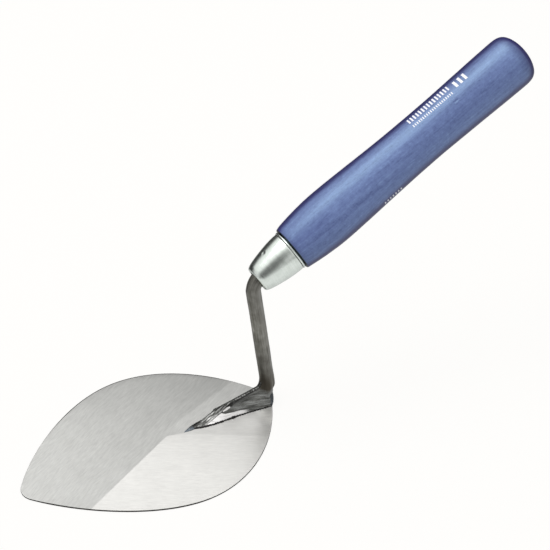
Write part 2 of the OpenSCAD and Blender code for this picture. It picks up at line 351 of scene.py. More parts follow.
class Mat(Nodes):
    """A material with one Principled shader."""

    def __init__(self, name):
        self.material = bpy.data.materials.new(name)
        self.material.use_nodes = True
        super().__init__(self.material.node_tree)
        out = self.new("OutputMaterial")
        self.shader = self.new("BsdfPrincipled")
        self.put(out.inputs["Surface"], self.shader.outputs[0])

    def set(self, **inputs):
        for key, value in inputs.items():
            self.put(self.shader.inputs[key.replace("_", " ")], value)

    def mm(self):
        """Object coordinates in millimetres."""
        node = self.new("VectorMath", operation="SCALE")
        self.put(node.inputs[0], self.new("TexCoord").outputs["Object"])
        node.inputs["Scale"].default_value = 1000.0
        return node.outputs["Vector"]

    def attr(self, name, out="Fac"):
        return self.new("Attribute", attribute_name=name).outputs[out]

    def bump(self, height, depth, strength):
        """Bump of a depth in millimetres."""
        node = self.new("Bump")
        node.inputs["Strength"].default_value = strength
        node.inputs["Distance"].default_value = depth * MM
        self.put(node.inputs["Height"], height)
        self.set(Normal=node.outputs[0])


# ------------------------------------------------------------------ materials

# painted reflection: brightness of the two ground fields over the plate, laid into the base colour:
# factors of 1, x, y, xx, xy, yy with x and y in decimetres
GREY = (0.384, 0.240, 0.050, -0.060, -0.083, -0.100)
LIGHT = (0.425, 0.392, 0.375, -0.153, -0.43, -0.145)


def mat_blade():
    """Sheet steel ground in two directions: a grey field over the tip and the far half, a bright
    one on the near heel half. The brightness of both fields and its fall-off over the plate are
    painted reflection in the base colour."""
    mat = Mat("blade_ground_steel")
    x, y, z = mat.split(mat.mm())
    flat = mat.comb(x, y, 0.0)
    # the light field's borders: one towards the tip, two that meet along the middle
    wobble = mat.centred(mat.noise(flat, scale=0.35, detail=3.0, rough=0.6), 0.5)
    tipward = mat.add(mat.past_line(flat, (91.3, 14.9), (-0.4415, 0.8973)), wobble)
    middle = mat.math("MAXIMUM", mat.past_line(flat, (56.0, 1.1), (0.270, 0.963)),
                      mat.past_line(flat, (50.9, 2.6), (0.056, 0.998)))
    middle = mat.add(middle, wobble)
    light = mat.mul(mat.fade(tipward, -0.35, 0.35), mat.fade(middle, -0.3, 0.3))
    # soft wedge on the far side of the foot
    wedge = mat.fade(mat.past_line(flat, (70.1, -1.9), (0.3098, -0.9508)), 0.8, -1.4)
    wedge = mat.mul(wedge, mat.fade(x, 70.0, 42.0))
    wedge = mat.mul(wedge, mat.sub(1.0, light))
    under = mat.fade(z, 0.3, 0.1)

    def grain(dir_x, dir_y, seed):
        """Fine, middling and broad grinding lines along one direction."""
        along = mat.dot(flat, (dir_x, dir_y, 0))
        across = mat.dot(flat, (-dir_y, dir_x, 0))
        drift = mat.mad(mat.noise(flat, scale=0.03, detail=1.0), 6.0, across)
        return (mat.streaks((along, 0.26, seed), (across, 2.3), z, rough=0.62),
                mat.streaks((along, 0.11, seed + 7.3), (drift, 0.75), 3.1),
                mat.streaks((along, 0.030, seed + 3.9), (drift, 0.16), 5.7, 2.0, 0.5))

    grains = zip(grain(0.884, 0.467, 1.7), grain(-0.838, 0.545, 9.2))
    fine, mid, broad = [mat.lerp(light, grey, bright) for grey, bright in grains]
    x_dm, y_dm = mat.mul(x, 0.01), mat.mul(y, 0.01)

    def field(factors):
        terms = (x_dm, y_dm, mat.mul(x_dm, x_dm), mat.mul(x_dm, y_dm), mat.mul(y_dm, y_dm))
        value = factors[0]
        for term, factor in zip(terms, factors[1:]):
            value = mat.mad(term, factor, value)
        return value

    level = mat.lerp(light, mat.mad(wedge, 0.085, field(GREY)), field(LIGHT))
    # painted highlight round the foot on the near side, then a faint painted shade along the heel
    offset = mat.vector("SUBTRACT", mat.comb(x, mat.mul(y, 0.8), 0.0), (2.0, 11.0, 0))
    foot_glow_paint = mat.fade(mat.vector("LENGTH", offset), 24.0, 2.0)
    level = mat.boost(level, mat.mul(foot_glow_paint, light), 0.42)
    heel_shade_paint = mat.fade(mat.mad(y, -0.16, x), 16.0, -2.0)
    level = mat.boost(level, mat.mul(heel_shade_paint, light), -0.06)
    # painted shade in a strip beside the foot, and a painted highlight on the heel corner
    strip_shade_paint = mat.fade(mat.past_line(flat, (29.6, 18.5), (0.583, 0.812)), 0.7, -0.7)
    level = mat.boost(level, mat.mul(strip_shade_paint, light), -0.10)
    corner = mat.mul(mat.fade(x, 9.0, 3.5), mat.fade(y, 27.0, 19.0))
    level = mat.boost(level, mat.mul(corner, light), 0.42)
    level = mat.lerp(under, level, 0.60)
    # grinding lines, calmer in the light field
    calm = mat.lerp(light, 1.0, 0.62)
    cloud = mat.noise(flat, scale=0.055, detail=3.0, rough=0.5)
    change = mat.total((fine, 0.40, -0.20), (mid, 0.34, -0.17), (broad, 0.10, -0.05),
                       (cloud, 0.14, -0.07))
    level = mat.mul(level, mat.add(1.0, mat.mul(change, calm)))
    # a few short handling scratches
    voronoi = mat.new("TexVoronoi")
    voronoi.inputs["Scale"].default_value = 1.0
    stretched = mat.comb(mat.mul(mat.dot(flat, (0.96, 0.28, 0)), 0.03),
                         mat.mul(mat.dot(flat, (-0.28, 0.96, 0)), 0.28), 0.4)
    mat.put(voronoi.inputs["Vector"], stretched)
    scratch = mat.fade(voronoi.outputs["Distance"], 0.035, 0.02)
    level = mat.boost(level, scratch, -0.10)
    tone = mat.mix(light, (1.0, 1.0, 0.965), (1.0, 0.990, 0.955))
    across_grain = mat.mix(light, (-0.467, 0.884, 0.0), (0.545, 0.838, 0.0), "VECTOR")
    mat.set(Base_Color=mat.tint(tone, level), Metallic=1.0, Anisotropic=0.5,
            Roughness=mat.add(mat.lerp(light, 0.42, 0.38), mat.mul(mat.sub(fine, 0.5), 0.18)),
            Tangent=mat.vector("NORMALIZE", across_grain))
    mat.bump(mat.add(fine, mat.mul(mid, 0.5)), depth=0.010, strength=0.5)
    return mat.material


def mat_edge():
    """Sheared edge of the sheet: darker, with fine marks across it. The near-black colour is
    painted shade, kept where the edge would mirror the bright floor.
    """
    mat = Mat("blade_sheared_edge")
    x, y, z = mat.split(mat.mm())
    marks = mat.noise(mat.comb(x, y, mat.mul(z, 0.3)), scale=1.6, detail=4.0, rough=0.6)
    band = mat.noise(mat.comb(mat.mul(x, 0.05), mat.mul(y, 0.05), mat.mul(z, 3.0)))
    value = mat.add(marks, mat.centred(band, 0.5))
    colour = mat.ramp(value, [(0.25, (0.008, 0.006, 0.005)), (0.55, (0.022, 0.019, 0.016)),
                              (0.8, (0.075, 0.070, 0.064))])
    mat.set(Base_Color=colour, Metallic=0.2, Roughness=mat.mad(marks, 0.25, 0.5),
            Specular_IOR_Level=0.3)
    mat.bump(value, depth=0.03, strength=0.7)
    return mat.material


def mat_neck():
    """Forged bar: dark scale with lengthwise streaks, bright where the grinder touched the foot."""
    mat = Mat("neck_forged_steel")
    point = mat.mm()
    sweep, flank = mat.attr("sweep", "Vector"), mat.attr("flank", "Vector")
    ground, band, heat, low, lines = map(mat.attr, ("ground", "band", "heat", "low", "lines"))
    along, around, _ = mat.split(sweep)
    foot_along, foot_up, _ = mat.split(flank)
    streak = mat.streaks((along, 0.07), (around, 0.9), 1.3, detail=4.0, rough=0.62)
    patch = mat.noise(point, scale=0.16, detail=4.0, rough=0.55)
    speck = mat.noise(point, scale=1.9, detail=4.0, rough=0.65)
    skin = mat.ramp(mat.total((streak, 0.62), (patch, 0.38)),
                    [(0.30, (0.080, 0.076, 0.064)), (0.46, (0.165, 0.160, 0.140)),
                     (0.58, (0.250, 0.246, 0.222)), (0.72, (0.400, 0.398, 0.368))])
    skin = mat.tint(skin, mat.mad(speck, 0.5, 0.75))
    # lighter on the middle of the leg, browner and darker just above the foot
    z = mat.split(point)[2]
    middle = mat.mul(mat.fade(z, 28.0, 42.0), mat.fade(z, 74.0, 60.0))
    skin = mat.tint(skin, mat.mad(middle, 0.20, 1.0))
    brown = mat.mul(mat.fade(z, 28.0, 12.0), mat.sub(1.0, low))
    skin = mat.mix(mat.mul(brown, 0.86), skin, (0.056, 0.045, 0.031))
    # painted highlight: a broken lighter line along the bar
    gaps = mat.noise(mat.comb(mat.mul(along, 0.05), around, 0.0), scale=0.5)
    bar_highlight_paint = mat.mul(mat.fade(mat.math("ABSOLUTE", mat.add(around, -9.0)), 3.4, 0.8),
                   mat.fade(gaps, 0.35, 0.6))
    skin = mat.mix(mat.mul(bar_highlight_paint, 0.5), skin, (0.36, 0.355, 0.33))
    # the foot, blued where it was heated
    foot_streak = mat.streaks((foot_along, 0.10), (foot_up, 1.35), 2.9, detail=4.0, rough=0.65)
    foot_value = mat.total((foot_streak, 0.72), (speck, 0.28))
    foot = mat.ramp(foot_value, [(0.34, (0.034, 0.034, 0.031)), (0.48, (0.095, 0.096, 0.089)),
                                 (0.60, (0.195, 0.199, 0.192)), (0.74, (0.38, 0.39, 0.385))])
    blued = mat.ramp(foot_value, [(0.34, (0.090, 0.118, 0.130)), (0.50, (0.25, 0.305, 0.325)),
                                  (0.66, (0.46, 0.525, 0.55))])
    x = mat.split(point)[0]
    foot = mat.tint(foot, mat.fade(x, 12.0, 2.0, low=1.0, high=1.4))
    foot = mat.mix(mat.mul(heat, 0.92), foot, blued)
    colour = mat.mix(low, skin, foot)
    # lengthwise and slanting tool lines on the ridge
    rib = mat.ramp(mat.add(lines, mat.centred(speck, 0.5)),
                   [(0.22, (0.012, 0.012, 0.011)), (0.45, (0.060, 0.060, 0.056)),
                    (0.70, (0.30, 0.30, 0.29)), (0.92, (0.62, 0.62, 0.60))])
    colour = mat.mix(mat.mul(band, 0.9), colour, rib)
    # the bright ground facet
    bright_streak = mat.streaks((foot_along, 0.22), (foot_up, 1.8), 6.1)
    bright = mat.ramp(bright_streak, [(0.3, (0.60, 0.585, 0.57)), (0.5, (0.86, 0.845, 0.835)),
                                      (0.8, (0.96, 0.95, 0.94))])
    facet = mat.fade(mat.add(ground, mat.centred(speck, 0.3)), 0.26, 0.74)
    colour = mat.mix(facet, colour, bright)
    rough = mat.lerp(facet, mat.mad(speck, 0.35, 0.30), mat.mad(bright_streak, 0.15, 0.24))
    mat.set(Base_Color=colour, Metallic=mat.lerp(facet, 0.75, 1.0), Roughness=rough)
    height = mat.add(mat.mul(mat.lerp(low, streak, foot_streak), 0.5),
                     mat.mul(speck, mat.lerp(facet, 0.6, 0.08)))
    mat.bump(height, depth=0.12, strength=0.55)
    return mat.material


def mat_weld(name, dark, mid, light, blue, metal=0.8):
    """Filler metal with a rippled skin: dark scale blued by heat on the pool and the heel bead,
    plain near black on the runs.
    """
    mat = Mat(name)
    point = mat.mm()
    ripple = mat.noise(point, scale=0.9, detail=5.0, rough=0.65)
    speck = mat.noise(point, scale=3.2, detail=3.0, rough=0.6)
    value = mat.total((ripple, 0.65), (speck, 0.35))
    colour = mat.ramp(value, [(0.32, dark), (0.52, mid), (0.72, light)])
    tinge = mat.fade(mat.noise(point, scale=0.35), 0.42, 0.62, high=0.7)
    glassy = metal > 0.5
    mat.set(Base_Color=mat.mix(tinge, colour, blue), Metallic=metal,
            Roughness=mat.mad(speck, 0.3, 0.28 if glassy else 0.45),
            Specular_IOR_Level=0.5 if glassy else 0.2)
    mat.bump(value, depth=0.10, strength=0.7)
    return mat.material


def mat_ferrule():
    """Bright satin zinc on drawn sheet: faint rings from the drawing and a cloudy plate."""
    mat = Mat("ferrule_zinc_plate")
    dist, arc, _ = mat.split(mat.attr("lathe", "Vector"))
    point = mat.mm()
    ring = mat.streaks((dist, 2.6), (arc, 0.05), 0.7)
    cloud = mat.noise(point, scale=0.22, detail=4.0, rough=0.55)
    speck = mat.noise(point, scale=2.6, detail=3.0, rough=0.6)
    value = mat.add(mat.mul(ring, 0.35), mat.total((cloud, 0.45), (speck, 0.2)))
    colour = mat.ramp(value, [(0.30, (0.62, 0.670, 0.625)), (0.5, (0.75, 0.805, 0.755)),
                              (0.7, (0.86, 0.905, 0.865))])
    # painted shade: dark in the groove behind the collar and half dark on the inside
    mat.set(Base_Color=mat.mix(mat.attr("groove_shade_paint"), colour, (0.10, 0.105, 0.10)), Metallic=1.0,
            Roughness=mat.add(0.19, mat.mul(value, 0.14)))
    mat.bump(mat.total((ring, 0.5), (speck, 0.5)), depth=0.02, strength=0.5)
    return mat.material


def mat_handle():
    """Pearly blue lacquer over turned wood: the grain and the pores still show through it."""
    mat = Mat("handle_blue_lacquer")
    dist, arc, _ = mat.split(mat.attr("lathe", "Vector"))
    point = mat.mm()
    bare = mat.attr("bare")
    warp = mat.noise(point, scale=0.05)
    grain = mat.streaks((warp, 1.2, mat.mul(dist, 0.016)), (arc, 0.34), 2.0, detail=4.0)
    pores = mat.streaks((dist, 0.22), (arc, 2.4), 4.4)
    mottle = mat.noise(point, scale=0.42, detail=4.0, rough=0.62)
    brush = mat.streaks((arc, 0.06, mat.mul(dist, 0.13)), (arc, 0.85), 8.1, rough=0.65)
    fleck = mat.noise(point, scale=0.95, detail=3.0, rough=0.65)
    value = mat.total((grain, 0.34), (mottle, 0.22), (brush, 0.20), (fleck, 0.16), (pores, 0.08))
    colour = mat.ramp(value, [(0.36, (0.042, 0.050, 0.180)), (0.45, (0.088, 0.113, 0.290)),
                              (0.54, (0.124, 0.164, 0.370)), (0.64, (0.185, 0.254, 0.475))])
    # painted shade: darker at grazing angles, away from the near side, at the butt and at the
    # shoulder; the turn term also lightens the near side
    weight = mat.new("LayerWeight")
    weight.inputs["Blend"].default_value = 0.5
    rim = mat.fade(weight.outputs["Facing"], 0.32, 0.68)
    colour = mat.mix(mat.mul(rim, 0.88), colour, (0.026, 0.020, 0.095))
    turn = mat.sub(mat.math("DIVIDE", arc, LATHE_R), math.radians(84.0))
    colour = mat.tint(colour, mat.mad(mat.math("COSINE", turn), 0.17, 0.98))
    colour = mat.mix(mat.fade(dist, 161.0, 171.5, high=0.86), colour, (0.026, 0.023, 0.100))
    colour = mat.mix(mat.fade(dist, 3.4, 0.2, high=0.40), colour, (0.045, 0.036, 0.160))
    wood = mat.ramp(mat.total((grain, 0.6), (pores, 0.4)),
                    [(0.3, (0.36, 0.21, 0.10)), (0.6, (0.55, 0.37, 0.20)),
                     (0.8, (0.66, 0.48, 0.29))])
    colour = mat.mix(bare, colour, wood)
    # painted shade: near black in the gap between the shoulder and the ferrule
    colour = mat.mix(mat.attr("gap"), colour, (0.006, 0.006, 0.010))
    crown = mat.fade(dist, 163.0, 171.5)
    specular = mat.sub(mat.mad(rim, -0.36, 0.47), mat.mul(crown, 0.33))
    mat.set(Base_Color=colour, Metallic=0.0, IOR=1.95,
            Roughness=mat.lerp(bare, mat.mad(mottle, 0.16, 0.30), 0.75),
            Specular_IOR_Level=mat.math("MAXIMUM", specular, 0.04),
            Specular_Tint=(0.58, 0.86, 1.0))
    mat.bump(mat.add(mat.mul(pores, 0.5), mat.total((fleck, 0.45), (brush, 0.5))),
             depth=0.08, strength=0.6)
    return mat.material


def mat_print():
    """White pad print, a little thin in places."""
    mat = Mat("print_white")
    thin = mat.noise(mat.mm(), scale=1.4, detail=4.0, rough=0.7)
    colour = mat.ramp(thin, [(0.30, (0.55, 0.60, 0.74)), (0.44, (0.84, 0.85, 0.90)),
                             (0.6, (0.93, 0.93, 0.95))])
    mat.set(Base_Color=colour, Roughness=mat.mad(thin, 0.2, 0.4), Metallic=0.0)
    mat.bump(thin, depth=0.02, strength=0.4)
    return mat.material


# ------------------------------------------------------------------ blade

TIP_R, TIP_A = 10.0, math.radians(54)
BELLY_X = TIP_X - 0.545 * LENGTH     # where the blade is widest

# edge profile from the top face to the underside: inset from the outline, height as a share of
# the thickness, and the extra inset and drop where the edge is worn
EDGE = [(0.55, 1.0, 0.35, 0.0), (0.13, 1.0, 0.42, 0.05), (0.05, 0.975, 0.22, 0.16),
        (0.01, 0.92, 0.07, 0.22), (0.0, 0.80, 0, 0), (0.0, 0.42, 0, 0), (0.01, 0.18, 0, 0),
        (0.07, 0.06, 0, 0), (0.2, 0.0, 0, 0), (0.55, 0.0, 0, 0)]


def bezier(p0, p1, p2, p3, count):
    """Points on a cubic, its start left out."""
    t = np.linspace(0, 1, count + 1)[1:, None]
    return ((1 - t) ** 3 * p0 + 3 * (1 - t) ** 2 * t * p1 + 3 * (1 - t) * t * t * p2
            + t ** 3 * p3)


def blade_outline():
    """Half outline from the tip back to the heel, y positive: tip arc and two cubics."""
    a = np.linspace(0, math.radians(90) - TIP_A, 16)
    arc = np.stack([TIP_X - TIP_R + TIP_R * np.cos(a), TIP_R * np.sin(a)], 1)
    start = arc[-1]
    pull = 0.1768 * LENGTH * np.array([-math.cos(TIP_A), math.sin(TIP_A)])
    belly = np.array([BELLY_X, HALF])
    heel = np.array([HEEL_X, 0.0])
    heel_pull = 0.153 * LENGTH * np.array([math.cos(HEEL_A), math.sin(HEEL_A)])
    return np.concatenate([
        arc,
        bezier(start, start + pull, np.array([BELLY_X + 0.1993 * LENGTH, HALF]), belly, 110),
        bezier(belly, np.array([BELLY_X - 0.2312 * LENGTH, HALF]), heel + heel_pull, heel, 110)])


def build_blade(mats):
    half = blade_outline()
    half_count = len(half)
    loop = np.concatenate([half, half[-2:0:-1] * [1, -1]])     # tip, near side, heel, far side
    count = len(loop)
    tangent = np.roll(loop, -1, 0) - np.roll(loop, 1, 0)
    normal = np.stack([tangent[:, 1], -tangent[:, 0]], 1)
    normal /= np.linalg.norm(normal, axis=1)[:, None]
    if normal[0, 0] < 0:
        normal = -normal
    steps = np.linalg.norm(np.diff(loop, axis=0), axis=1)
    along = np.concatenate([[0], np.cumsum(steps)])
    ragged = fbm(xyz(along * 0.35, 2.2, 0.0), 3, 5) * 0.03   # the edge isn't dead straight
    x = loop[:, 0]
    # the far edge is worn rounder, and a burr is left on the near edge
    worn = ease(0.0, -0.5, normal[:, 1]) * ease(0, 14, x) * ease(128, 96, x)
    burr = ease(0.0, 0.4, normal[:, 1]) * ease(58, 78, x) * ease(152, 140, x)
    rings = []
    for k, (inset, height, worn_inset, worn_drop) in enumerate(EDGE):
        more = worn_inset * worn + (0.27 * burr if k == 1 else 0.0)
        shift = inset + more + ragged * (1 if inset < 0.3 else 0)
        rings.append(np.column_stack([loop - normal * shift[:, None],
                                      (height - worn_drop * worn) * THICK]))
    verts = np.concatenate(rings)
    faces, face_mat = [], []
    for r in range(len(EDGE) - 1):
        a, b = r * count, (r + 1) * count
        for i in range(count):
            j = (i + 1) % count
            faces.append((a + i, b + i, b + j, a + j))
            face_mat.append(1 if 1 <= r <= 6 else 0)
    # top and bottom fields: rows across the blade, from the tip to the heel
    cells = 28
    columns = np.linspace(1, -1, cells + 1)[1:-1]
    extra = []
    for ring, turn in ((0, 1), ((len(EDGE) - 1) * count, -1)):
        rows = []
        for i in range(1, half_count - 1):
            near, far = ring + i, ring + (count - i)
            a, b = verts[near], verts[far]
            first = len(verts) + len(extra)
            extra += [a + (b - a) * (1 - c) / 2 for c in columns]
            rows.append([near, *range(first, first + cells - 1), far])
        tip, heel = ring, ring + half_count - 1
        for j in range(cells):
            faces.append((tip, rows[0][j], rows[0][j + 1])[::turn])
            faces.append((heel, rows[-1][j + 1], rows[-1][j])[::turn])
        for row, after in zip(rows, rows[1:]):
            for j in range(cells):
                faces.append((row[j], after[j], after[j + 1], row[j + 1])[::turn])
    face_mat += [0] * (len(faces) - len(face_mat))
    verts = np.concatenate([verts, np.array(extra)])
    return make("blade", verts, faces, mats, face_mat, sharp=50)


# ------------------------------------------------------------------ neck
# A round bar: a leg rises from the foot, bends, and ends in the tang inside the handle.

LEAN = math.radians(5.24)            # of the leg from upright
ROD = 4.3                            # bar radius
BEND_R = 8.5
TURN = math.pi / 2 - PITCH + LEAN
BEND_T = BEND_R * math.tan(TURN / 2)     # from the corner to either end of the bend
# XZ pairs: the bend's start and centre, and the direction down the leg
BEND_START = np.array([CORNER[0] - BEND_T * math.sin(LEAN), CORNER[2] - BEND_T * math.cos(LEAN)])
BEND_CENTRE = BEND_START + BEND_R * np.array([-math.cos(LEAN), math.sin(LEAN)])
LEG_DOWN = np.array([-math.sin(LEAN), -math.cos(LEAN)])
LEG_L = (BEND_START[1] - THICK - 4.2) / math.cos(LEAN)
TAPER_L = 52.0
TANG_ROUND = FERRULE_AT + FERRULE_L - SPIGOT_L + 26.0     # the round part's end
TANG_L = TANG_ROUND + TAPER_L

# foot at distances behind the toe: ridge height, then half width on the far side
HEIGHT_AT = [-4.0, 0.0, 2.1, 4.6, 7.4, 11.7, 14.6, 17.5, 20.0, 23.0, 26.0]
HEIGHT = [0.35, 0.38, 0.52, 0.80, 1.24, 2.66, 3.52, 4.62, 5.75, 6.78, 7.30]
FAR_AT = [-4.0, 0.0, 2.4, 5.1, 8.1, 13.3, 17.0, 20.0, 23.0]
FAR = [0.20, 0.24, 0.50, 0.78, 1.20, 2.95, 4.35, 5.9, 6.1]
# top edge of the ground facet on the near flank: distance behind the toe, half width, height
FACET_AT = [6.0, 9.5, 13.2, 18.1, 19.6, 21.5, 26.4, 30.2, 34.5, 40.0]
FACET_Y = [4.1, 4.1, 3.55, 2.95, 2.9, 3.9, 4.7, 5.1, 5.9, 6.5]
FACET_Z = [0.2, 0.45, 1.40, 3.05, 3.5, 2.75, 2.35, 2.25, 1.95, 1.7]
# near border of the ridge's tool-marked band: distance behind the toe, y
BAND_AT = [0.0, 8.0, 9.5, 13.2, 18.1, 24.8, 31.3, 44.5, 49.0]
BAND_Y = [6.0, 6.0, 4.3, 3.70, 2.90, 2.05, 1.65, 1.55, 1.4]


def foot_half(behind):
    """Half width on the near side."""
    front = 2.2 + 3.7 * (1 - (1 - np.clip(behind, 0, 20) / 20) ** 2)
    return np.where(behind < 20, front, 5.9 + 4.3 * (np.clip(behind - 20, 0, None) / 34) ** 1.6)


def foot_far_half(behind):
    """Half width on the far side, where the toe is ground back further."""
    return np.where(behind < 20, pchip(FAR_AT, FAR, behind), foot_half(behind))


def foot_height(behind):
    low = pchip(HEIGHT_AT, HEIGHT, behind)
    height = np.where(behind < 23, low, 6.78 + 0.155 * (behind - 23))
    return height + 1.2 * ease(45.5, 50.5, behind)


def leg_x(z):
    """The leg's centre line at height z."""
    return CORNER[0] - (CORNER[2] - z) * math.tan(LEAN)


def ridge_y(behind):
    """The ridge leans to the near side at the toe."""
    return 1.1 * ease(12.0, 0.0, behind)


def foot_field(points):
    """About the signed distance to the foot, negative inside."""
    x, y, z = points.T
    behind, up = TOE - x, z - THICK
    ridge, near = ridge_y(behind), foot_half(behind)
    half = np.where(y > ridge, near - ridge, foot_far_half(behind) + ridge)
    height = foot_height(behind)
    share = np.clip(up / height, 0, None)
    section = (share ** 1.25 + (np.abs(y - ridge) / half) ** 1.25) ** 0.8
    out = (section - 1) * (half * height / np.sqrt(half * half + height * height))
    # forged hollow on each flank between the ridge and the base, from the waist to the heel
    out = out + 0.75 * ease(18, 27, behind) * ease(56, 44, behind) * bell(share, 0.60, 0.20)
    # near flank: the low ground facet stands a little proud of the hollow and is dead flat
    nrm_y = np.interp(behind, FACET_AT, FACET_Z)
    nrm_z = near - np.interp(behind, FACET_AT, FACET_Y)
    size = np.sqrt(nrm_y * nrm_y + nrm_z * nrm_z) + 1e-9
    plane = ((y - near) * nrm_y + up * nrm_z) / size
    facet = ease(7, 10, behind) * ease(39, 36, behind) * (y > 0)
    out = np.where(facet > 0.01, smooth_max(out, plane, 0.25) * facet + out * (1 - facet), out)
    heel = (x - (HEEL_X + 1.2)) * -math.sin(HEEL_A) + np.abs(y) * math.cos(HEEL_A)
    out = smooth_max(out, heel, 1.0)
    out = smooth_max(out, -behind, 0.3)
    return np.maximum(out, -up)


def bar_coords(points):
    """Down and across the leg, angle and radius about the bend's centre, along and across
    the tang."""
    x, _, z = points.T
    leg_dx, leg_dz = x - BEND_START[0], z - BEND_START[1]
    bend_dx, bend_dz = x - BEND_CENTRE[0], z - BEND_CENTRE[1]
    tang_dx, tang_dz = x - CORNER[0], z - CORNER[2]
    return (leg_dx * LEG_DOWN[0] + leg_dz * LEG_DOWN[1],
            leg_dx * LEG_DOWN[1] - leg_dz * LEG_DOWN[0],
            np.arctan2(bend_dz, bend_dx),
            np.sqrt(bend_dx * bend_dx + bend_dz * bend_dz),
            tang_dx * AXIS[0] + tang_dz * AXIS[2],
            tang_dx * AXIS_TOP[0] + tang_dz * AXIS_TOP[2])


def tube_field(points):
    """Signed distance to the bar: leg, bend and tang."""
    x, y, z = points.T
    down, across, angle, radius, dist, rise = bar_coords(points)
    # the leg narrows towards the foot; behind, it swells and then tucks in above the heel
    on_leg = np.clip(down, 0, LEG_L)
    back = ease(1.0, -3.0, x - leg_x(z))
    tuck = 1.95 * ease(LEG_L - 5.6, LEG_L - 0.2, on_leg) - 0.15 * bell(on_leg, LEG_L - 9.5, 3.6)
    leg_r = ROD - 0.95 * ease(LEG_L - 9.0, LEG_L, on_leg) * (1 - back) - tuck * back
    leg = np.sqrt(across * across + y * y + ((down - on_leg) * (1 + 1.3 * back)) ** 2) - leg_r
    # the bend is pulled thin and flat on its outside and swells a little on its inside
    start, end = -LEAN, TURN - LEAN
    inside = (angle > start - 0.02) & (angle < end + 0.02)
    arch = np.sin(np.pi * np.clip((angle - start) / (end - start), 0, 1))
    outer = np.clip((radius - BEND_R) / ROD, -1, 1)
    bend_r = (ROD - 0.62 * arch ** 0.8 * np.clip(outer, 0, 1) ** 1.5
              + 0.18 * arch * np.clip(-outer, 0, 1))
    bend = np.where(inside, np.sqrt((radius - BEND_R) ** 2 + y * y) - bend_r, 99.0)
    # tang: round bar, then a square taper
    on_tang = np.clip(dist, BEND_T, TANG_ROUND)
    tang = np.sqrt(rise * rise + y * y + (dist - on_tang) ** 2) - ROD
    tang = np.maximum(tang, dist - TANG_ROUND)
    share = np.clip((dist - TANG_ROUND) / TAPER_L, 0, 1)
    side = (3.95 * (1 - share) + 2.0 * share) / math.sqrt(2)
    taper = np.maximum(np.maximum(np.abs(rise), np.abs(y)) - side,
                       np.maximum(TANG_ROUND - 0.5 - dist, dist - TANG_L))
    return np.minimum(np.minimum(leg, bend), np.minimum(tang, taper))


def neck_field(points):
    out = tube_field(points)
    near_foot = points[:, 2] < 30
    if near_foot.any():
        low = points[near_foot]
        # the bar runs into the foot with a wide fillet in front and a tight one behind
        fillet = 0.9 + 2.6 * ease(-4.5, 1.5, low[:, 0] - leg_x(low[:, 2]))
        joined = smooth_min(out[near_foot], foot_field(low), fillet)
        out[near_foot] = np.maximum(joined, THICK - low[:, 2])
    return out


def surface_nets(field, lo, hi, step, coarse=4):
    """Quads on the zero level of field inside the box: one vertex in each cell the surface
    crosses. A coarse pass finds the cells near the surface, and only those are worked out
    finely."""
    def corner(grid, offset):
        return grid[tuple(slice(o, n - 1 + o) for o, n in zip(offset, grid.shape))]

    def spread(grid, mode):
        for axis in range(3):
            grid = np.repeat(grid, coarse, axis)
        return np.pad(grid, (0, 1), mode=mode)

    size = np.ceil((hi - lo) / (step * coarse)).astype(int) * coarse + 1
    rough_size = (size - 1) // coarse + 1
    axes = [lo[i] + step * coarse * np.arange(rough_size[i]) for i in range(3)]
    rough_points = np.stack(np.meshgrid(*axes, indexing="ij"), -1).reshape(-1, 3)
    rough = field(rough_points).reshape(rough_size)
    close = np.abs(rough) < step * coarse * 2.4
    blocks = close[:-1, :-1, :-1].copy()
    for offset in np.ndindex(2, 2, 2):
        blocks |= corner(close, offset)
    values = spread(rough[:-1, :-1, :-1], "edge").astype(np.float32)
    fine = spread(blocks, "constant")
    wanted = fine.copy()
    wanted[1:] |= fine[:-1]
    wanted[:, 1:] |= wanted[:, :-1].copy()
    wanted[:, :, 1:] |= wanted[:, :, :-1].copy()
    index = np.argwhere(wanted)
    batch = 400000
    for first in range(0, len(index), batch):
        part = index[first:first + batch]
        values[tuple(part.T)] = field(lo + step * part)
    inside = values < 0
    count = sum(corner(inside, offset).astype(np.int8) for offset in np.ndindex(2, 2, 2))
    active = (count > 0) & (count < 8)
    cells = np.argwhere(active)
    vert_id = np.full(active.shape, -1, np.int64)
    vert_id[active] = np.arange(len(cells))
    # each vertex is the mean of the crossings on its cell's edges
    total, hits = np.zeros((len(cells), 3)), np.zeros(len(cells))
    for axis in range(3):
        others = [i for i in range(3) if i != axis]
        for ends in np.ndindex(2, 2):
            a = np.zeros(3, int)
            a[others] = ends
            b = a.copy()
            b[axis] = 1
            va, vb = values[tuple((cells + a).T)], values[tuple((cells + b).T)]
            cross = (va < 0) != (vb < 0)
            t = np.where(cross, va / np.where(cross, va - vb, 1), 0)
            total[cross] += (a + t[:, None] * (b - a))[cross]
            hits[cross] += 1
    verts = lo + step * (cells + total / hits[:, None])
    # one quad round each grid edge that the surface crosses
    quads = []
    for axis, (o1, o2) in enumerate([(1, 2), (2, 0), (0, 1)]):
        before, after = [slice(None)] * 3, [slice(None)] * 3
        before[axis], after[axis] = slice(0, -1), slice(1, None)
        edges = np.argwhere(inside[tuple(before)] != inside[tuple(after)])
        edges = edges[(edges[:, o1] > 0) & (edges[:, o2] > 0)
                      & (edges[:, o1] < size[o1] - 1) & (edges[:, o2] < size[o2] - 1)]
        ring = []
        for b1, b2 in ((1, 1), (0, 1), (0, 0), (1, 0)):
            cell = edges.copy()
            cell[:, o1] -= b1
            cell[:, o2] -= b2
            ring.append(vert_id[tuple(cell.T)])
        quad = np.stack(ring, 1)
        outside = ~inside[tuple(edges.T)]
        quad[outside] = quad[outside][:, ::-1]
        quads.append(quad)
    quads = np.concatenate(quads)
    return verts, quads[(quads >= 0).all(1)]


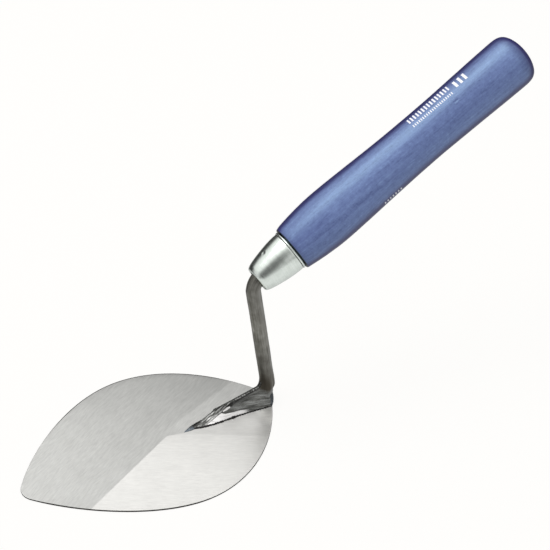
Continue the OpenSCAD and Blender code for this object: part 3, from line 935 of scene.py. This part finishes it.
def gradient(field, points, reach=0.04):
    """Unit direction and size of the field's gradient."""
    grad = np.zeros_like(points)
    for i in range(3):
        offset = np.zeros(3)
        offset[i] = reach
        grad[:, i] = (field(points + offset) - field(points - offset)) / (2 * reach)
    size = np.sqrt((grad * grad).sum(1))
    return grad / np.maximum(size, 1e-6)[:, None], size


def ridge_lines(points):
    """Tool lines on the ridge, about 0 dark to 1 bright."""
    x, y, z = points.T
    behind, up = TOE - x, z - THICK
    # strokes laid slantwise like a rope's; first and second slant are mixed into along and across
    slant_a = -1.48 * x + 0.87 * y
    slant_b = 0.56 * x + 0.87 * y - 1.38 * up
    along, across = 0.74 * slant_a - 0.67 * slant_b, 0.67 * slant_a + 0.74 * slant_b
    lay = fbm(xyz(along * 0.17, across * 0.62, 1.7), 3, 31)
    phase = across * 2 * math.pi / 2.5 + 2.4 * fbm(points * 0.3, 2, 29)
    lines = 0.50 + 0.17 * np.sin(phase) + 0.62 * lay
    # darkened at the far base and at the band's near border
    far_base = ease(0.9, 0.3, foot_far_half(behind) + y)
    lines = lines * (1 - 0.8 * far_base * ease(22, 17, behind) * ease(1, 4, behind))
    border = ease(0.35, 0.05, np.interp(behind, BAND_AT, BAND_Y) - y)
    lines = lines * (1 - 0.65 * border * ease(29, 25, behind))
    # only thin broken lines are left further back
    dash = 0.5 + 0.5 * np.sin(x * 2 * math.pi / 1.5 + 1.5 * fbm(points * 0.5, 2, 38))
    late = ease(27, 31, behind)
    off_ridge = y - ridge_y(behind)
    pale = bell(off_ridge, 0.80, 0.36) * ease(50, 45, behind)
    thin = 0.28 + 0.52 * pale * (0.35 + 0.65 * dash) + 0.3 * fbm(points * 0.9, 2, 35)
    lines = lines * (1 - late) + late * thin
    # painted shade: black from the crest to the far side, then a plain mottle at the toe
    lines = lines * (1 - ease(0.42, 0.18, off_ridge) * ease(15, 19, behind))
    mottle = 0.46 + 0.5 * fbm(points * np.array([0.35, 0.9, 0.9]), 3, 37)
    lines = lines * ease(5, 9, behind) + ease(9, 5, behind) * mottle
    return np.clip(lines, 0, 1)


def heat_tint(behind, above_facet, y, up, low):
    """Blueing along the foot's base, at the toe and in spots on the near flank."""
    near = y > 0
    spots = (
        0.9 * ease(5, 0, behind),
        0.95 * bell(behind, 31, 6.0) * ease(0.1, 0.6, above_facet)
        * ease(2.4, 1.2, above_facet) * near,
        bell(behind, 37.0, 4.2) * ease(1.3, 0.1, above_facet) * near,
        bell(behind, 48.5, 2.8) * bell(up, 5.2, 3.2) * near,
        0.6 * bell(behind, 44.0, 3.0) * bell(up, 6.0, 1.6) * near)
    heat = ease(24, 40, behind) * ease(6.2, 3.6, up) * ease(50.5, 46, behind) * low
    for spot in spots:
        heat = np.maximum(heat, spot)
    return np.clip(heat, 0, 1)


def neck_attributes(points):
    """Coordinates along the bar and the foot, and masks for the material and the relief."""
    x, y, z = points.T
    behind, up = TOE - x, z - THICK
    down, over, angle, radius, dist, rise = bar_coords(points)
    on_tang = dist > BEND_T
    on_leg = (~on_tang) & (down > 0)
    along = np.where(on_tang, LEG_L + BEND_R * TURN + (dist - BEND_T),
                     np.where(on_leg, LEG_L - down,
                              LEG_L + BEND_R * np.clip(angle + LEAN, 0, TURN)))
    cross = np.where(on_tang, rise, np.where(on_leg, -over, radius - BEND_R))
    around = np.arctan2(y, cross) * ROD
    ahead = x - leg_x(z)
    low = np.maximum(ease(8.6, 5.6, up - 0.45 * np.clip(ahead - 3.0, 0, None)),
                     ease(5.0, 9.0, ahead))
    low = np.where(up > 16, 0.0, low)
    # ground facet, and a short ground tick on the band's border above it
    above_facet = up - np.interp(behind, FACET_AT, FACET_Z)
    ground = (ease(0.20, -0.05, above_facet) * ease(7.5, 10.5, behind)
              * ease(40.5, 28.0, behind + 0.5 * (up - 1.5)) * (y > 0) * ease(0.15, 0.3, up))
    band_y = np.interp(behind, BAND_AT, BAND_Y)
    tick = (ease(0.46, 0.28, np.abs(y - band_y + 0.02) + 0.07 * np.abs(behind - 23.4))
            * ease(20.3, 21.2, behind) * ease(26.4, 25.4, behind) * (up > 2))
    band = (ease(0.22, -0.18, y - band_y)
            * np.maximum(ease(-2.6, -1.6, y), ease(17, 13, behind))
            * ease(51.0, 47.5, behind) * ease(-0.5, 0.8, behind) * (up < 13))
    return {"sweep": np.column_stack([along, around, cross]),
            "flank": np.column_stack([x, up * 1.1 + 0.35 * y, y]),
            "ground": np.maximum(ground, tick), "band": band, "lines": ridge_lines(points),
            "heat": heat_tint(behind, above_facet, y, up, low), "low": low}


def neck_relief(points, attrs):
    """How far each point moves out: forging marks on the bar, ripples along the ridge."""
    x, y, z = points.T
    behind, up = TOE - x, z - THICK
    dist = bar_coords(points)[4]
    along, around, _ = attrs["sweep"].T
    low, band, ground = attrs["low"], attrs["band"], np.clip(attrs["ground"], 0, 1)
    bare = dist > FERRULE_AT + 1.5                # inside the ferrule and the handle
    dent = fbm(xyz(along * 0.055, around * 0.16, 3.3), 3, 11) * 0.13
    flats = 0.07 * np.cos(3 * around / ROD + 0.9 + 0.25 * np.sin(along * 0.09))
    scale = fbm(points * 0.9, 3, 23) * 0.035
    # kept as a strict test: a point exactly on the limit gets no forging marks
    body = (dent + flats) * (1 - low) * (dist < FERRULE_AT + 1.5) + scale
    ripple = (attrs["lines"] - 0.5) * 0.13 + fbm(points * 1.3, 2, 41) * 0.05
    crest = bell(y + 0.15 + 0.012 * behind, 0.0, 0.35) * 0.06
    low_dent = (fbm(points * np.array([0.16, 0.5, 0.5]), 3, 57) * 0.10
                * (1 - np.clip(attrs["ground"] * 1.5, 0, 1)))
    on_foot = body * (1 - band * 0.7) + band * (ripple + crest) + low_dent * low
    amount = np.where(low > 0, on_foot, body) * ease(0.05, 0.6, up) * (1 - 0.85 * ground)
    return np.where(bare, scale * 0.3, amount)


def build_neck(mat):
    step = 0.3
    tang_end = CORNER + AXIS * TANG_L
    lo = np.array([tang_end[0] - 5, -12.2, THICK - 1.05 * step * 0.5])
    hi = np.array([TOE + 1.5, 12.2, tang_end[2] + 6])
    verts, quads = surface_nets(neck_field, lo, hi, step)
    for _ in range(3):                            # settle the points on the surface
        unit, size = gradient(neck_field, verts)
        move = neck_field(verts) / np.maximum(size, 0.5)
        verts = verts - np.clip(move, -0.5 * step, 0.5 * step)[:, None] * unit
    normal, _ = gradient(neck_field, verts)
    attrs = neck_attributes(verts)
    verts = verts + normal * neck_relief(verts, attrs)[:, None]
    verts[:, 2] = np.maximum(verts[:, 2], THICK)
    return make("neck", verts, quads, [mat], attrs=attrs)


# ------------------------------------------------------------------ welds

FOOT_L = 48.9                        # length of the runs along the foot
HEEL_BEAD = 9.6                      # reach of the heel bead to either side


def sweep_closed(name, rings, mat):
    """Closed solid from rings with the same number of points, capped at both ends."""
    rows, count, _ = rings.shape
    verts = rings.reshape(-1, 3)
    faces = grid_faces(rows, count, True).tolist()
    cap_a, cap_b = len(verts), len(verts) + 1
    verts = np.concatenate([verts, rings[0].mean(0)[None], rings[-1].mean(0)[None]])
    last = (rows - 1) * count
    for j in range(count):
        k = (j + 1) % count
        faces.append((cap_a, k, j))
        faces.append((cap_b, last + j, last + k))
    return face_outwards(make(name, verts, faces, [mat]))


def build_side_weld(name, side, mat):
    """Thin run where the foot meets the blade, uneven in width and height."""
    behind = np.arange(0.3, FOOT_L, 0.22)
    half = foot_half(behind) if side > 0 else foot_far_half(behind)
    at = xyz(behind * 0.55, 3.1 * side, 0.0)
    swell = bell(behind, 24.5, 3.0)
    pulls = behind * 2 * math.pi / 1.55
    wide = 0.60 + 0.32 * fbm(at, 3, 71 + side) + 0.30 * swell + 0.10 * np.sin(pulls + 0.6 * side)
    high = 0.48 + 0.24 * fbm(at + 9, 3, 75 + side) + 0.22 * swell + 0.09 * np.sin(pulls + 1.1)
    ends = 0.35 + 0.65 * (ease(0, 5.0, behind) * ease(FOOT_L, 46.5, behind))
    rings = []
    for x, w, width, height in zip(TOE - behind, half, wide * ends, high * ends):
        section = [(w - 0.7, 0.0), (w - 0.7, height * 0.9)]
        for degrees in np.linspace(100, 0, 7):
            a = math.radians(degrees)
            section.append((w - 0.05 + width * math.cos(a), height * max(0.0, math.sin(a))))
        # points on the blade sink a little into it
        rings.append([(x, side * y, THICK + z - 0.02 * (z == 0)) for y, z in section])
    return sweep_closed(name, np.array(rings), mat)


def build_toe_weld(mat):
    """Pool that ran out in front of the toe, drawn to a point that leans to the near side."""
    rings = []
    for t in np.linspace(0, 1, 46):               # 0 at the point, 1 under the toe
        x = TOE + (POOL_L - 0.05) * (1 - t) - 1.6 * ease(0.9, 1.0, t)
        centre = 2.25 - 0.75 * t
        half = 0.06 + 1.62 * t ** 0.85
        height = 0.05 + 0.50 * t ** 1.1
        ripple = 1 + 0.16 * math.sin(t * 17.0) * (0.3 + 0.7 * t)
        ring = []
        for j in range(18):
            a = math.pi * j / 17
            z = max(0.0, height * ripple * math.sin(a) ** 0.8)
            ring.append((x, centre + half * math.cos(a), THICK + z))
        rings.append(ring)
    rings = np.array(rings)
    up = rings[..., 2] - THICK
    rings[..., 2] += fbm(rings * 1.1, 3, 91) * 0.10 * ease(0.05, 0.4, up)
    return sweep_closed("weld_toe", rings, mat)


def build_heel_weld(mat):
    """Rounded bead across the heel behind the foot, laid in short overlapping pulls."""
    stations = np.linspace(-HEEL_BEAD, HEEL_BEAD, 110)
    uneven = fbm(xyz(stations * 0.7, 0.0, 4.0), 2, 101)
    apex = np.array([HEEL_X + 1.2, 0.0])
    rings = []
    for v, wobble in zip(stations, uneven):
        sign = 1 if v >= 0 else -1
        centre = apex + abs(v) * np.array([math.cos(HEEL_A), sign * math.sin(HEEL_A)])
        out = np.array([-math.sin(HEEL_A), sign * math.cos(HEEL_A)])
        turn = math.exp(-(v / 1.2) ** 2)          # straight back at the apex
        out = out * (1 - turn) + np.array([-1.0, 0.0]) * turn
        out /= np.linalg.norm(out)
        full = 1 - 0.72 * (abs(v) / HEEL_BEAD) ** 2.5
        radius = 2.36 * full * (1 + 0.09 * abs(math.sin(v * 1.9)) ** 0.6) * (1 + 0.05 * wobble)
        inner = centre - out * 1.2
        ring = [(*inner, THICK), (*inner, THICK + 4.1 * full)]
        for degrees in np.linspace(100, -72, 15):
            a = math.radians(degrees)
            z = max(0.0, full * (2.15 + 2.26 * math.sin(a)))
            ring.append((*(centre + out * radius * math.cos(a)), THICK + z))
        rings.append(ring)
    rings = np.array(rings)
    up = rings[..., 2] - THICK
    rings[..., 2] += fbm(rings * 0.8, 3, 111) * 0.12 * ease(0.1, 0.8, up)
    return sweep_closed("weld_heel", rings, mat)


# ------------------------------------------------------------------ ferrule

# drawn cone: distance behind the ferrule's front, and radius there
CONE_AT = [0.0, 0.12, 0.5, 1.0, 1.6, 2.4, 3.1, 5.5, 7.8, 10.1, 12.5, 14.8, 17.1, 19.1, 21.5, 24.0]
CONE_R = [6.75, 7.35, 7.86, 8.16, 8.45, 8.80, 9.02, 9.66, 10.18, 10.62, 11.05, 11.42, 11.72,
          11.90, 12.04, 12.12]
# the rest of the section, in rows of (radius, distance): the hole's lip, the rounded front,
# the groove with the rolled collar, and the inside
LIP = [(5.6, 1.0), (5.6, 0.35), (5.66, 0.12), (5.85, 0.0), (6.3, 0.0), (6.75, 0.0)]
FRONT = [(7.0, 0.03), (7.35, 0.12), (7.65, 0.28), (7.86, 0.5), (8.02, 0.75)]
COLLAR = [(12.05, 24.15), (11.98, 24.28), (12.10, 24.40), (12.32, 24.50), (12.46, 24.66),
          (12.53, 24.86), (12.55, 25.08), (12.50, 25.30), (12.38, 25.47), (12.18, 25.57),
          (11.9, 25.6), (11.55, 25.58), (11.3, 25.45)]
INSIDE = [(11.25, 24.6), (11.15, 22.0), (10.9, 19.0), (10.4, 15.0), (9.65, 11.0), (8.7, 7.0),
          (7.8, 3.6), (7.3, 2.0), (6.6, 1.15), (6.0, 1.0)]


def build_ferrule(mat):
    count = 240
    cone_at = np.arange(1.0, 24.05, 0.4)
    cone = np.column_stack([pchip(CONE_AT, CONE_R, cone_at), cone_at])
    profile = np.concatenate([LIP, FRONT, cone, COLLAR, INSIDE])
    radius, dist, az = revolve(profile, count)
    row = np.arange(len(profile))[:, None]
    outside = row < len(profile) - len(INSIDE)
    drawn = (row >= len(LIP)) & outside & (dist < 24.2)
    # punch mark with a slightly raised ring round it
    away = np.sqrt((arc_from(az, -9, radius) / 1.25) ** 2 + ((dist - 12.0) / 1.0) ** 2)
    radius = radius - drawn * 0.22 * bell(away, 0.0, 0.8) + drawn * 0.02 * bell(away, 1.7, 0.5)
    # the drawn cone sits a touch towards the near underside at its front
    shift = 0.42 * (1 - dist / 26.0) * np.cos(az - math.radians(134.6))
    radius = radius + ((row >= 4) & outside) * shift
    # slightly out of round, from the die
    at = xyz(np.cos(az) * 1.3 + 5, np.sin(az) * 1.3, dist * 0.10)
    radius = radius + drawn * (fbm(at, 2, 121) * 0.06)
    # nick in the collar's rear rim
    collar = (dist > 24.35) & (radius > 11.7)
    nick = bell(arc_from(az, 54, 12.5), 0.0, 0.55) * ease(24.6, 25.3, dist)
    radius = radius + collar * 0.20 * nick
    faces = grid_faces(len(profile), count, True)
    last = (len(profile) - 1) * count
    j = np.arange(count)
    k = (j + 1) % count
    faces = np.concatenate([faces, np.stack([last + j, last + k, k, j], 1)])[:, ::-1]
    # painted shade in the groove behind the rolled collar, and half as much inside
    groove = ((dist > 24.10) & (dist < 24.45)) * 0.92
    groove_shade_paint = np.where(outside, groove, 0.5)
    return make("ferrule", on_axis(FERRULE_AT + dist, radius, az).reshape(-1, 3), faces, [mat],
                attrs={"lathe": xyz(dist, az * radius, radius).reshape(-1, 3),
                       "groove_shade_paint": groove_shade_paint.ravel()}, sharp=60)


# ------------------------------------------------------------------ handle
# Distances are measured behind the handle's shoulder.

WOOD_AT = [0.0, 0.12, 0.4, 0.9, 2.4, 6.4, 10.4, 14.4, 18.4, 22.4, 27.0, 33.4, 42.4, 52.4, 61.4,
           71.4, 80.4, 89.4, 101.4, 111.4, 120.4, 129.4, 139.4, 145.4, 151.4, 156.4, 160.4]
WOOD_R = [13.25, 13.48, 13.68, 13.83, 14.09, 14.68, 15.19, 15.58, 15.90, 16.13, 16.26, 16.20,
          16.00, 15.66, 15.34, 15.05, 14.84, 14.72, 14.66, 14.76, 14.93, 15.13, 15.36, 15.50,
          15.62, 15.70, 15.75]
# rounded butt: radius, distance from the handle's end
BUTT = [(WOOD_R[-1], HANDLE_L - WOOD_AT[-1]), (15.72, 10.6), (15.60, 8.9), (15.32, 7.3),
        (14.85, 5.95), (14.15, 4.75), (13.25, 3.75), (12.1, 2.88), (10.6, 2.05), (8.9, 1.35),
        (6.9, 0.75), (4.8, 0.34), (2.4, 0.09), (0.6, 0.0)]
# front shoulder, spigot inside the ferrule, and the hole for the tang: radius, distance
BORE = [(12.6, 0.0), (11.6, 0.0), (11.05, -0.15), (11.0, -1.2), (10.95, -3.6), (10.7, -6.6),
        (10.2, -10.6), (9.45, -14.6), (8.5, -18.6), (7.75, -21.6), (7.55, -22.2),
        (7.2, -SPIGOT_L), (5.4, -SPIGOT_L), (4.75, -22.4), (4.42, -22.1), (4.40, -21.0),
        (4.40, 3.4), (4.05, 3.9), (3.95, 8.0), (2.25, 55.0), (2.2, 55.6)]
BORE_END = 55.8
SHOULDER_ROWS = 4                    # the bore's first rows are lacquered and lie in the gap
# small dents from use: distance, azimuth in degrees, length, width, depth
DENTS = [(122.5, 32.0, 1.3, 0.55, 0.34), (34.0, -22.0, 2.6, 0.8, 0.10),
         (45.0, 18.0, 1.8, 0.7, 0.08), (24.0, 62.0, 2.4, 0.9, 0.09),
         (84.0, 38.0, 2.0, 0.6, 0.07), (148.0, 68.0, 1.6, 0.8, 0.08),
         (66.0, 200.0, 3.0, 1.0, 0.10), (110.0, 250.0, 2.0, 0.9, 0.09)]


def turned(radius, dist, az):
    """The radius made uneven: turned wood is never dead true, and its grain stands up a little
    under the lacquer."""
    fade = ease(0.3, 3.0, dist) * ease(2.0, 8.0, radius)
    cos, sin = np.cos(az), np.sin(az)
    radius = radius + fade * (0.05 + 0.14 * np.cos(az + 0.792))
    radius = radius + fade * fbm(xyz(cos * 0.9 + 3, sin * 0.9, dist * 0.035), 2, 131) * 0.09
    radius = radius + fade * fbm(xyz(cos * 3.2, sin * 3.2 + 7, dist * 0.05), 3, 137) * 0.05
    return radius + fade * fbm(xyz(cos * 12, sin * 12, dist * 0.16 + 4), 2, 139) * 0.018


def build_handle(mat):
    count = 256
    step = 0.8
    main_at = np.concatenate([[0.0, 0.05, 0.12, 0.25, 0.4, 0.62, 0.9, 1.4, 2.0],
                              np.arange(2.8, 160.0, step)])
    main = np.column_stack([pchip(WOOD_AT, WOOD_R, main_at), main_at])
    # the butt, evenly resampled
    butt = np.array(BUTT)
    key = np.concatenate([[0], np.cumsum(np.linalg.norm(np.diff(butt, axis=0), axis=1))])
    even = np.linspace(0, key[-1], 40)[1:]
    end = np.column_stack([pchip(key, butt[:, 0], even), HANDLE_L - pchip(key, butt[:, 1], even)])
    profile = np.concatenate([main, end])
    radius, dist, az = revolve(profile, count)
    radius = turned(radius, dist, az)
    for dent_at, degrees, length, width, depth in DENTS:
        arc = arc_from(az, degrees, radius)
        radius = radius - depth * bell(dist, dent_at, length) * bell(arc, 0.0, width)
    bore_r, bore_at, bore_az = revolve(BORE, count)

    # points: the outside, the crown point, the bore's rings, the bore's end point
    verts = [on_axis(JOINT + dist, radius, az), on_axis([JOINT + HANDLE_L], 0.0, 0.0),
             on_axis(JOINT + bore_at, bore_r, bore_az), on_axis([JOINT + BORE_END], 0.0, 0.0)]
    lathe = [xyz(dist, az * LATHE_R, radius), xyz(HANDLE_L, 0.0, 0.0),
             xyz(bore_at, bore_az * LATHE_R, bore_r), xyz(BORE_END, 0.0, 0.0)]
    row = np.repeat(np.arange(len(BORE)), count)
    bare = np.concatenate([np.zeros(radius.size + 1), row >= SHOULDER_ROWS, [1.0]])
    # painted shade on the shoulder's front face and the bore's first rows
    gap = np.concatenate([(dist < 0.3).ravel(), [0.0], row < SHOULDER_ROWS, [0.0]])

    crown = radius.size
    starts = [0] + [crown + 1 + i * count for i in range(len(BORE))]
    bore_end = starts[-1] + count
    last = (len(profile) - 1) * count
    j = np.arange(count)
    k = (j + 1) % count
    quads = [grid_faces(len(profile), count, True)]
    quads += [np.stack([a + j, b + j, b + k, a + k], 1) for a, b in zip(starts, starts[1:])]
    crown_fan = np.stack([last + j, last + k, np.full(count, crown)], 1)
    bore_fan = np.stack([starts[-1] + k, starts[-1] + j, np.full(count, bore_end)], 1)
    faces = np.concatenate(quads).tolist() + crown_fan.tolist() + bore_fan.tolist()
    ob = make("handle", np.concatenate([v.reshape(-1, 3) for v in verts]), faces, [mat],
              attrs={"lathe": np.concatenate([v.reshape(-1, 3) for v in lathe]),
                     "bare": bare, "gap": gap}, sharp=70)
    return face_outwards(ob)


MARK_R = 14.8                        # radius for the arcs below
PRINT_SINK, PRINT_RISE = 0.02, 0.055
# rows of ticks: count, first tick's distance, pitch, tick width, arc from and to
TICKS = [(15, 95.0, 2.05, 0.95, -4.0, 0.1),      # tall row
         (21, 95.2, 1.42, 0.62, 2.3, 3.9),       # small row under it
         (3, 128.2, 3.4, 1.6, -2.7, 2.4),        # broad ticks after them
         (7, 56.0, 2.0, 0.8, 28.2, 30.4)]        # short row low on the near side


def build_mark(mat):
    """Plain upright ticks printed on the lacquer. They stand for no letters."""
    verts, faces = [], []

    def samples(start, end):
        return np.linspace(start, end, max(2, int(math.ceil((end - start) / 0.5)) + 1))

    def block(start, end, arc_start, arc_end):
        """A thin pad that follows the lacquered surface."""
        dist, arc = np.meshgrid(samples(start, end), samples(arc_start, arc_end), indexing="ij")
        rows, cols = dist.shape
        az = arc / MARK_R
        radius = turned(pchip(WOOD_AT, WOOD_R, dist), dist, az)
        base, size = sum(map(len, verts)), rows * cols
        for offset in (PRINT_RISE, -PRINT_SINK):
            verts.append(on_axis(JOINT + dist, radius + offset, az).reshape(-1, 3))
        quads = grid_faces(rows, cols)
        faces.extend((quads + base).tolist())
        faces.extend((quads[:, ::-1] + base + size).tolist())
        rim = [i * cols for i in range(rows)]
        rim += [(rows - 1) * cols + j for j in range(1, cols)]
        rim += [i * cols + cols - 1 for i in range(rows - 2, -1, -1)]
        rim += range(cols - 2, 0, -1)
        for a, b in zip(rim, rim[1:] + rim[:1]):
            faces.append((base + a, base + b, base + size + b, base + size + a))

    for count, first, pitch, width, arc_start, arc_end in TICKS:
        for i in range(count):
            start = first + i * pitch
            block(start, start + width, arc_start, arc_end)
    return face_outwards(make("handle_mark", np.concatenate(verts), faces, [mat], smooth=False))


# ------------------------------------------------------------------ build

blade_mat, edge_mat, neck_mat = mat_blade(), mat_edge(), mat_neck()
# the runs along the foot's base are near black
run_mat = mat_weld("weld_run_near_black", dark=(0.004, 0.004, 0.003), mid=(0.009, 0.008, 0.007),
                   light=(0.040, 0.037, 0.032), blue=(0.006, 0.006, 0.007), metal=0.05)
pool_mat = mat_weld("weld_pool_blued", dark=(0.045, 0.050, 0.056), mid=(0.115, 0.128, 0.140),
                    light=(0.28, 0.30, 0.315), blue=(0.105, 0.130, 0.155))
bead_mat = mat_weld("weld_bead_scale", dark=(0.020, 0.021, 0.022), mid=(0.070, 0.074, 0.078),
                    light=(0.20, 0.21, 0.215), blue=(0.060, 0.072, 0.082))
zinc_mat, wood_mat, print_mat = mat_ferrule(), mat_handle(), mat_print()

pieces = [
    (build_blade([blade_mat, edge_mat]), "blade", "blade_steel"),
    (build_neck(neck_mat), "neck", "forged_steel"),
    (build_toe_weld(pool_mat), "weld_toe", "weld_metal"),
    (build_side_weld("weld_left", 1, run_mat), "weld_left", "weld_metal"),
    (build_side_weld("weld_right", -1, run_mat), "weld_right", "weld_metal"),
    (build_heel_weld(bead_mat), "weld_heel", "weld_metal"),
    (build_ferrule(zinc_mat), "ferrule", "plated_steel"),
    (build_handle(wood_mat), "handle", "lacquered_wood"),
]
for ob, node, slot in pieces:
    # the CAD node holds the plain name, so each visual piece gets one of its own
    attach(ob, "root")
    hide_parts(node)
    ob.name = node + "_shape"
mark = build_mark(print_mat)
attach(mark, "root")


# ------------------------------------------------------------------ stage, light, camera
# Light and camera places are in metres.

def build_floor():
    """A lit white sweep to the eye, seen from above only. What the metal and the lacquer mirror
    is bright on the near side and dull on the far one."""
    mat = bpy.data.materials.new("floor_pale")
    mat.use_nodes = True
    nodes = Nodes(mat.node_tree)
    out = nodes.new("OutputMaterial")

    def glow(albedo, strength):
        diffuse = nodes.fill(nodes.new("BsdfDiffuse"), (albedo, albedo, albedo))
        emission = nodes.fill(nodes.new("Emission"), (1.0, 0.992, 0.975), strength)
        return nodes.fill(nodes.new("AddShader"), diffuse.outputs[0],
                          emission.outputs[0]).outputs[0]

    def choose(fac, a, b):
        return nodes.fill(nodes.new("MixShader"), fac, a, b).outputs[0]

    rays = nodes.new("LightPath")
    y = nodes.split(nodes.new("NewGeometry").outputs["Position"])[1]
    # value, from far y to near y, from dull to bright
    side = nodes.fill(nodes.new("MapRange"), 0.0, -0.40, 0.10, 0.04, 0.90)
    nodes.put(side.inputs[0], y)
    mirrored = nodes.new("Emission")
    nodes.put(mirrored.inputs["Strength"], side.outputs[0])
    unseen = choose(rays.outputs["Is Glossy Ray"], glow(albedo=0.44, strength=0.02),
                    mirrored.outputs[0])
    seen = choose(rays.outputs["Is Camera Ray"], unseen, glow(albedo=0.07, strength=0.915))
    backfacing = nodes.new("NewGeometry").outputs["Backfacing"]
    clear = nodes.new("BsdfTransparent").outputs[0]
    nodes.put(out.inputs["Surface"], choose(backfacing, seen, clear))
    half, z = 6000.0, -0.15
    corners = [(-half, -half, z), (half, -half, z), (half, half, z), (-half, half, z)]
    make("floor", corners, [(0, 1, 2, 3)], [mat], smooth=False)


def build_world():
    """Light tent: brighter overhead, with two dark places."""
    world = bpy.data.worlds.new("studio")
    bpy.context.scene.world = world
    world.use_nodes = True
    nodes = Nodes(world.node_tree)
    out = nodes.new("OutputWorld")
    direction = nodes.vector("NORMALIZE", nodes.new("TexCoord").outputs["Generated"])
    _, _, z = nodes.split(direction)
    # brightness by height, from straight down at 0 to straight up at 1
    levels = ((0.0, 0.55), (0.5, 0.42), (0.60, 0.62), (0.72, 0.92), (0.88, 1.12), (1.0, 1.15))
    dome = nodes.ramp(nodes.mad(z, 0.5, 0.5), [(at, (level,) * 3) for at, level in levels])
    level = nodes.split(dome)[0]
    # dark mouth of the tent beside the camera
    mouth = nodes.fade(nodes.dot(direction, (0.583, 0.666, 0.465)),
                       math.cos(math.radians(35)), math.cos(math.radians(9)))
    level = nodes.boost(level, mouth, -0.84)
    # the far low side is dark
    far = nodes.dot(direction, (0.0, -1.0, 0.0))
    far_low = nodes.mul(nodes.fade(far, 0.2, 0.75), nodes.fade(z, 0.47, 0.32))
    level = nodes.boost(level, far_low, -0.93)
    level = nodes.lerp(nodes.new("LightPath").outputs["Is Camera Ray"], level, 1.0)
    background = nodes.fill(nodes.new("Background"), nodes.comb(level, level, level), 1.0)
    nodes.put(out.inputs["Surface"], background.outputs[0])


def build_light():
    light = bpy.data.lights.new("key_softbox", "AREA")
    light.shape = "RECTANGLE"
    light.size, light.size_y = 1.2, 0.8
    light.energy = 9.0
    place, target = Vector((0.25, -0.35, 1.5)), Vector((0.0, 0.0, 0.05))
    ob = bpy.data.objects.new("key_softbox", light)
    ob.location = place
    ob.rotation_mode = "QUATERNION"
    ob.rotation_quaternion = (target - place).to_track_quat("-Z", "Y")
    bpy.context.scene.collection.objects.link(ob)


def build_camera():
    data = bpy.data.cameras.new("camera")
    data.sensor_width = 36.0
    data.lens = 163.6363636
    data.shift_x = -0.000909090909
    data.shift_y = 0.000909090909
    data.clip_start, data.clip_end = 0.05, 60.0
    right = (-0.86134589, 0.50690645, -0.0336022)
    up = (-0.32746309, -0.5034289, 0.79957943)
    back = (0.38839566, 0.69971794, 0.59961957)
    pose = Matrix((right, up, back)).transposed().to_4x4()
    pose.translation = (0.53073, 0.98255, 0.92669)
    ob = bpy.data.objects.new("camera", data)
    ob.matrix_world = pose
    bpy.context.scene.collection.objects.link(ob)
    bpy.context.scene.camera = ob


build_floor()
build_world()
build_light()
build_camera()

view = bpy.context.scene.view_settings
view.view_transform = "Standard"
view.look = "None"
view.exposure = 0.0
view.gamma = 1.0
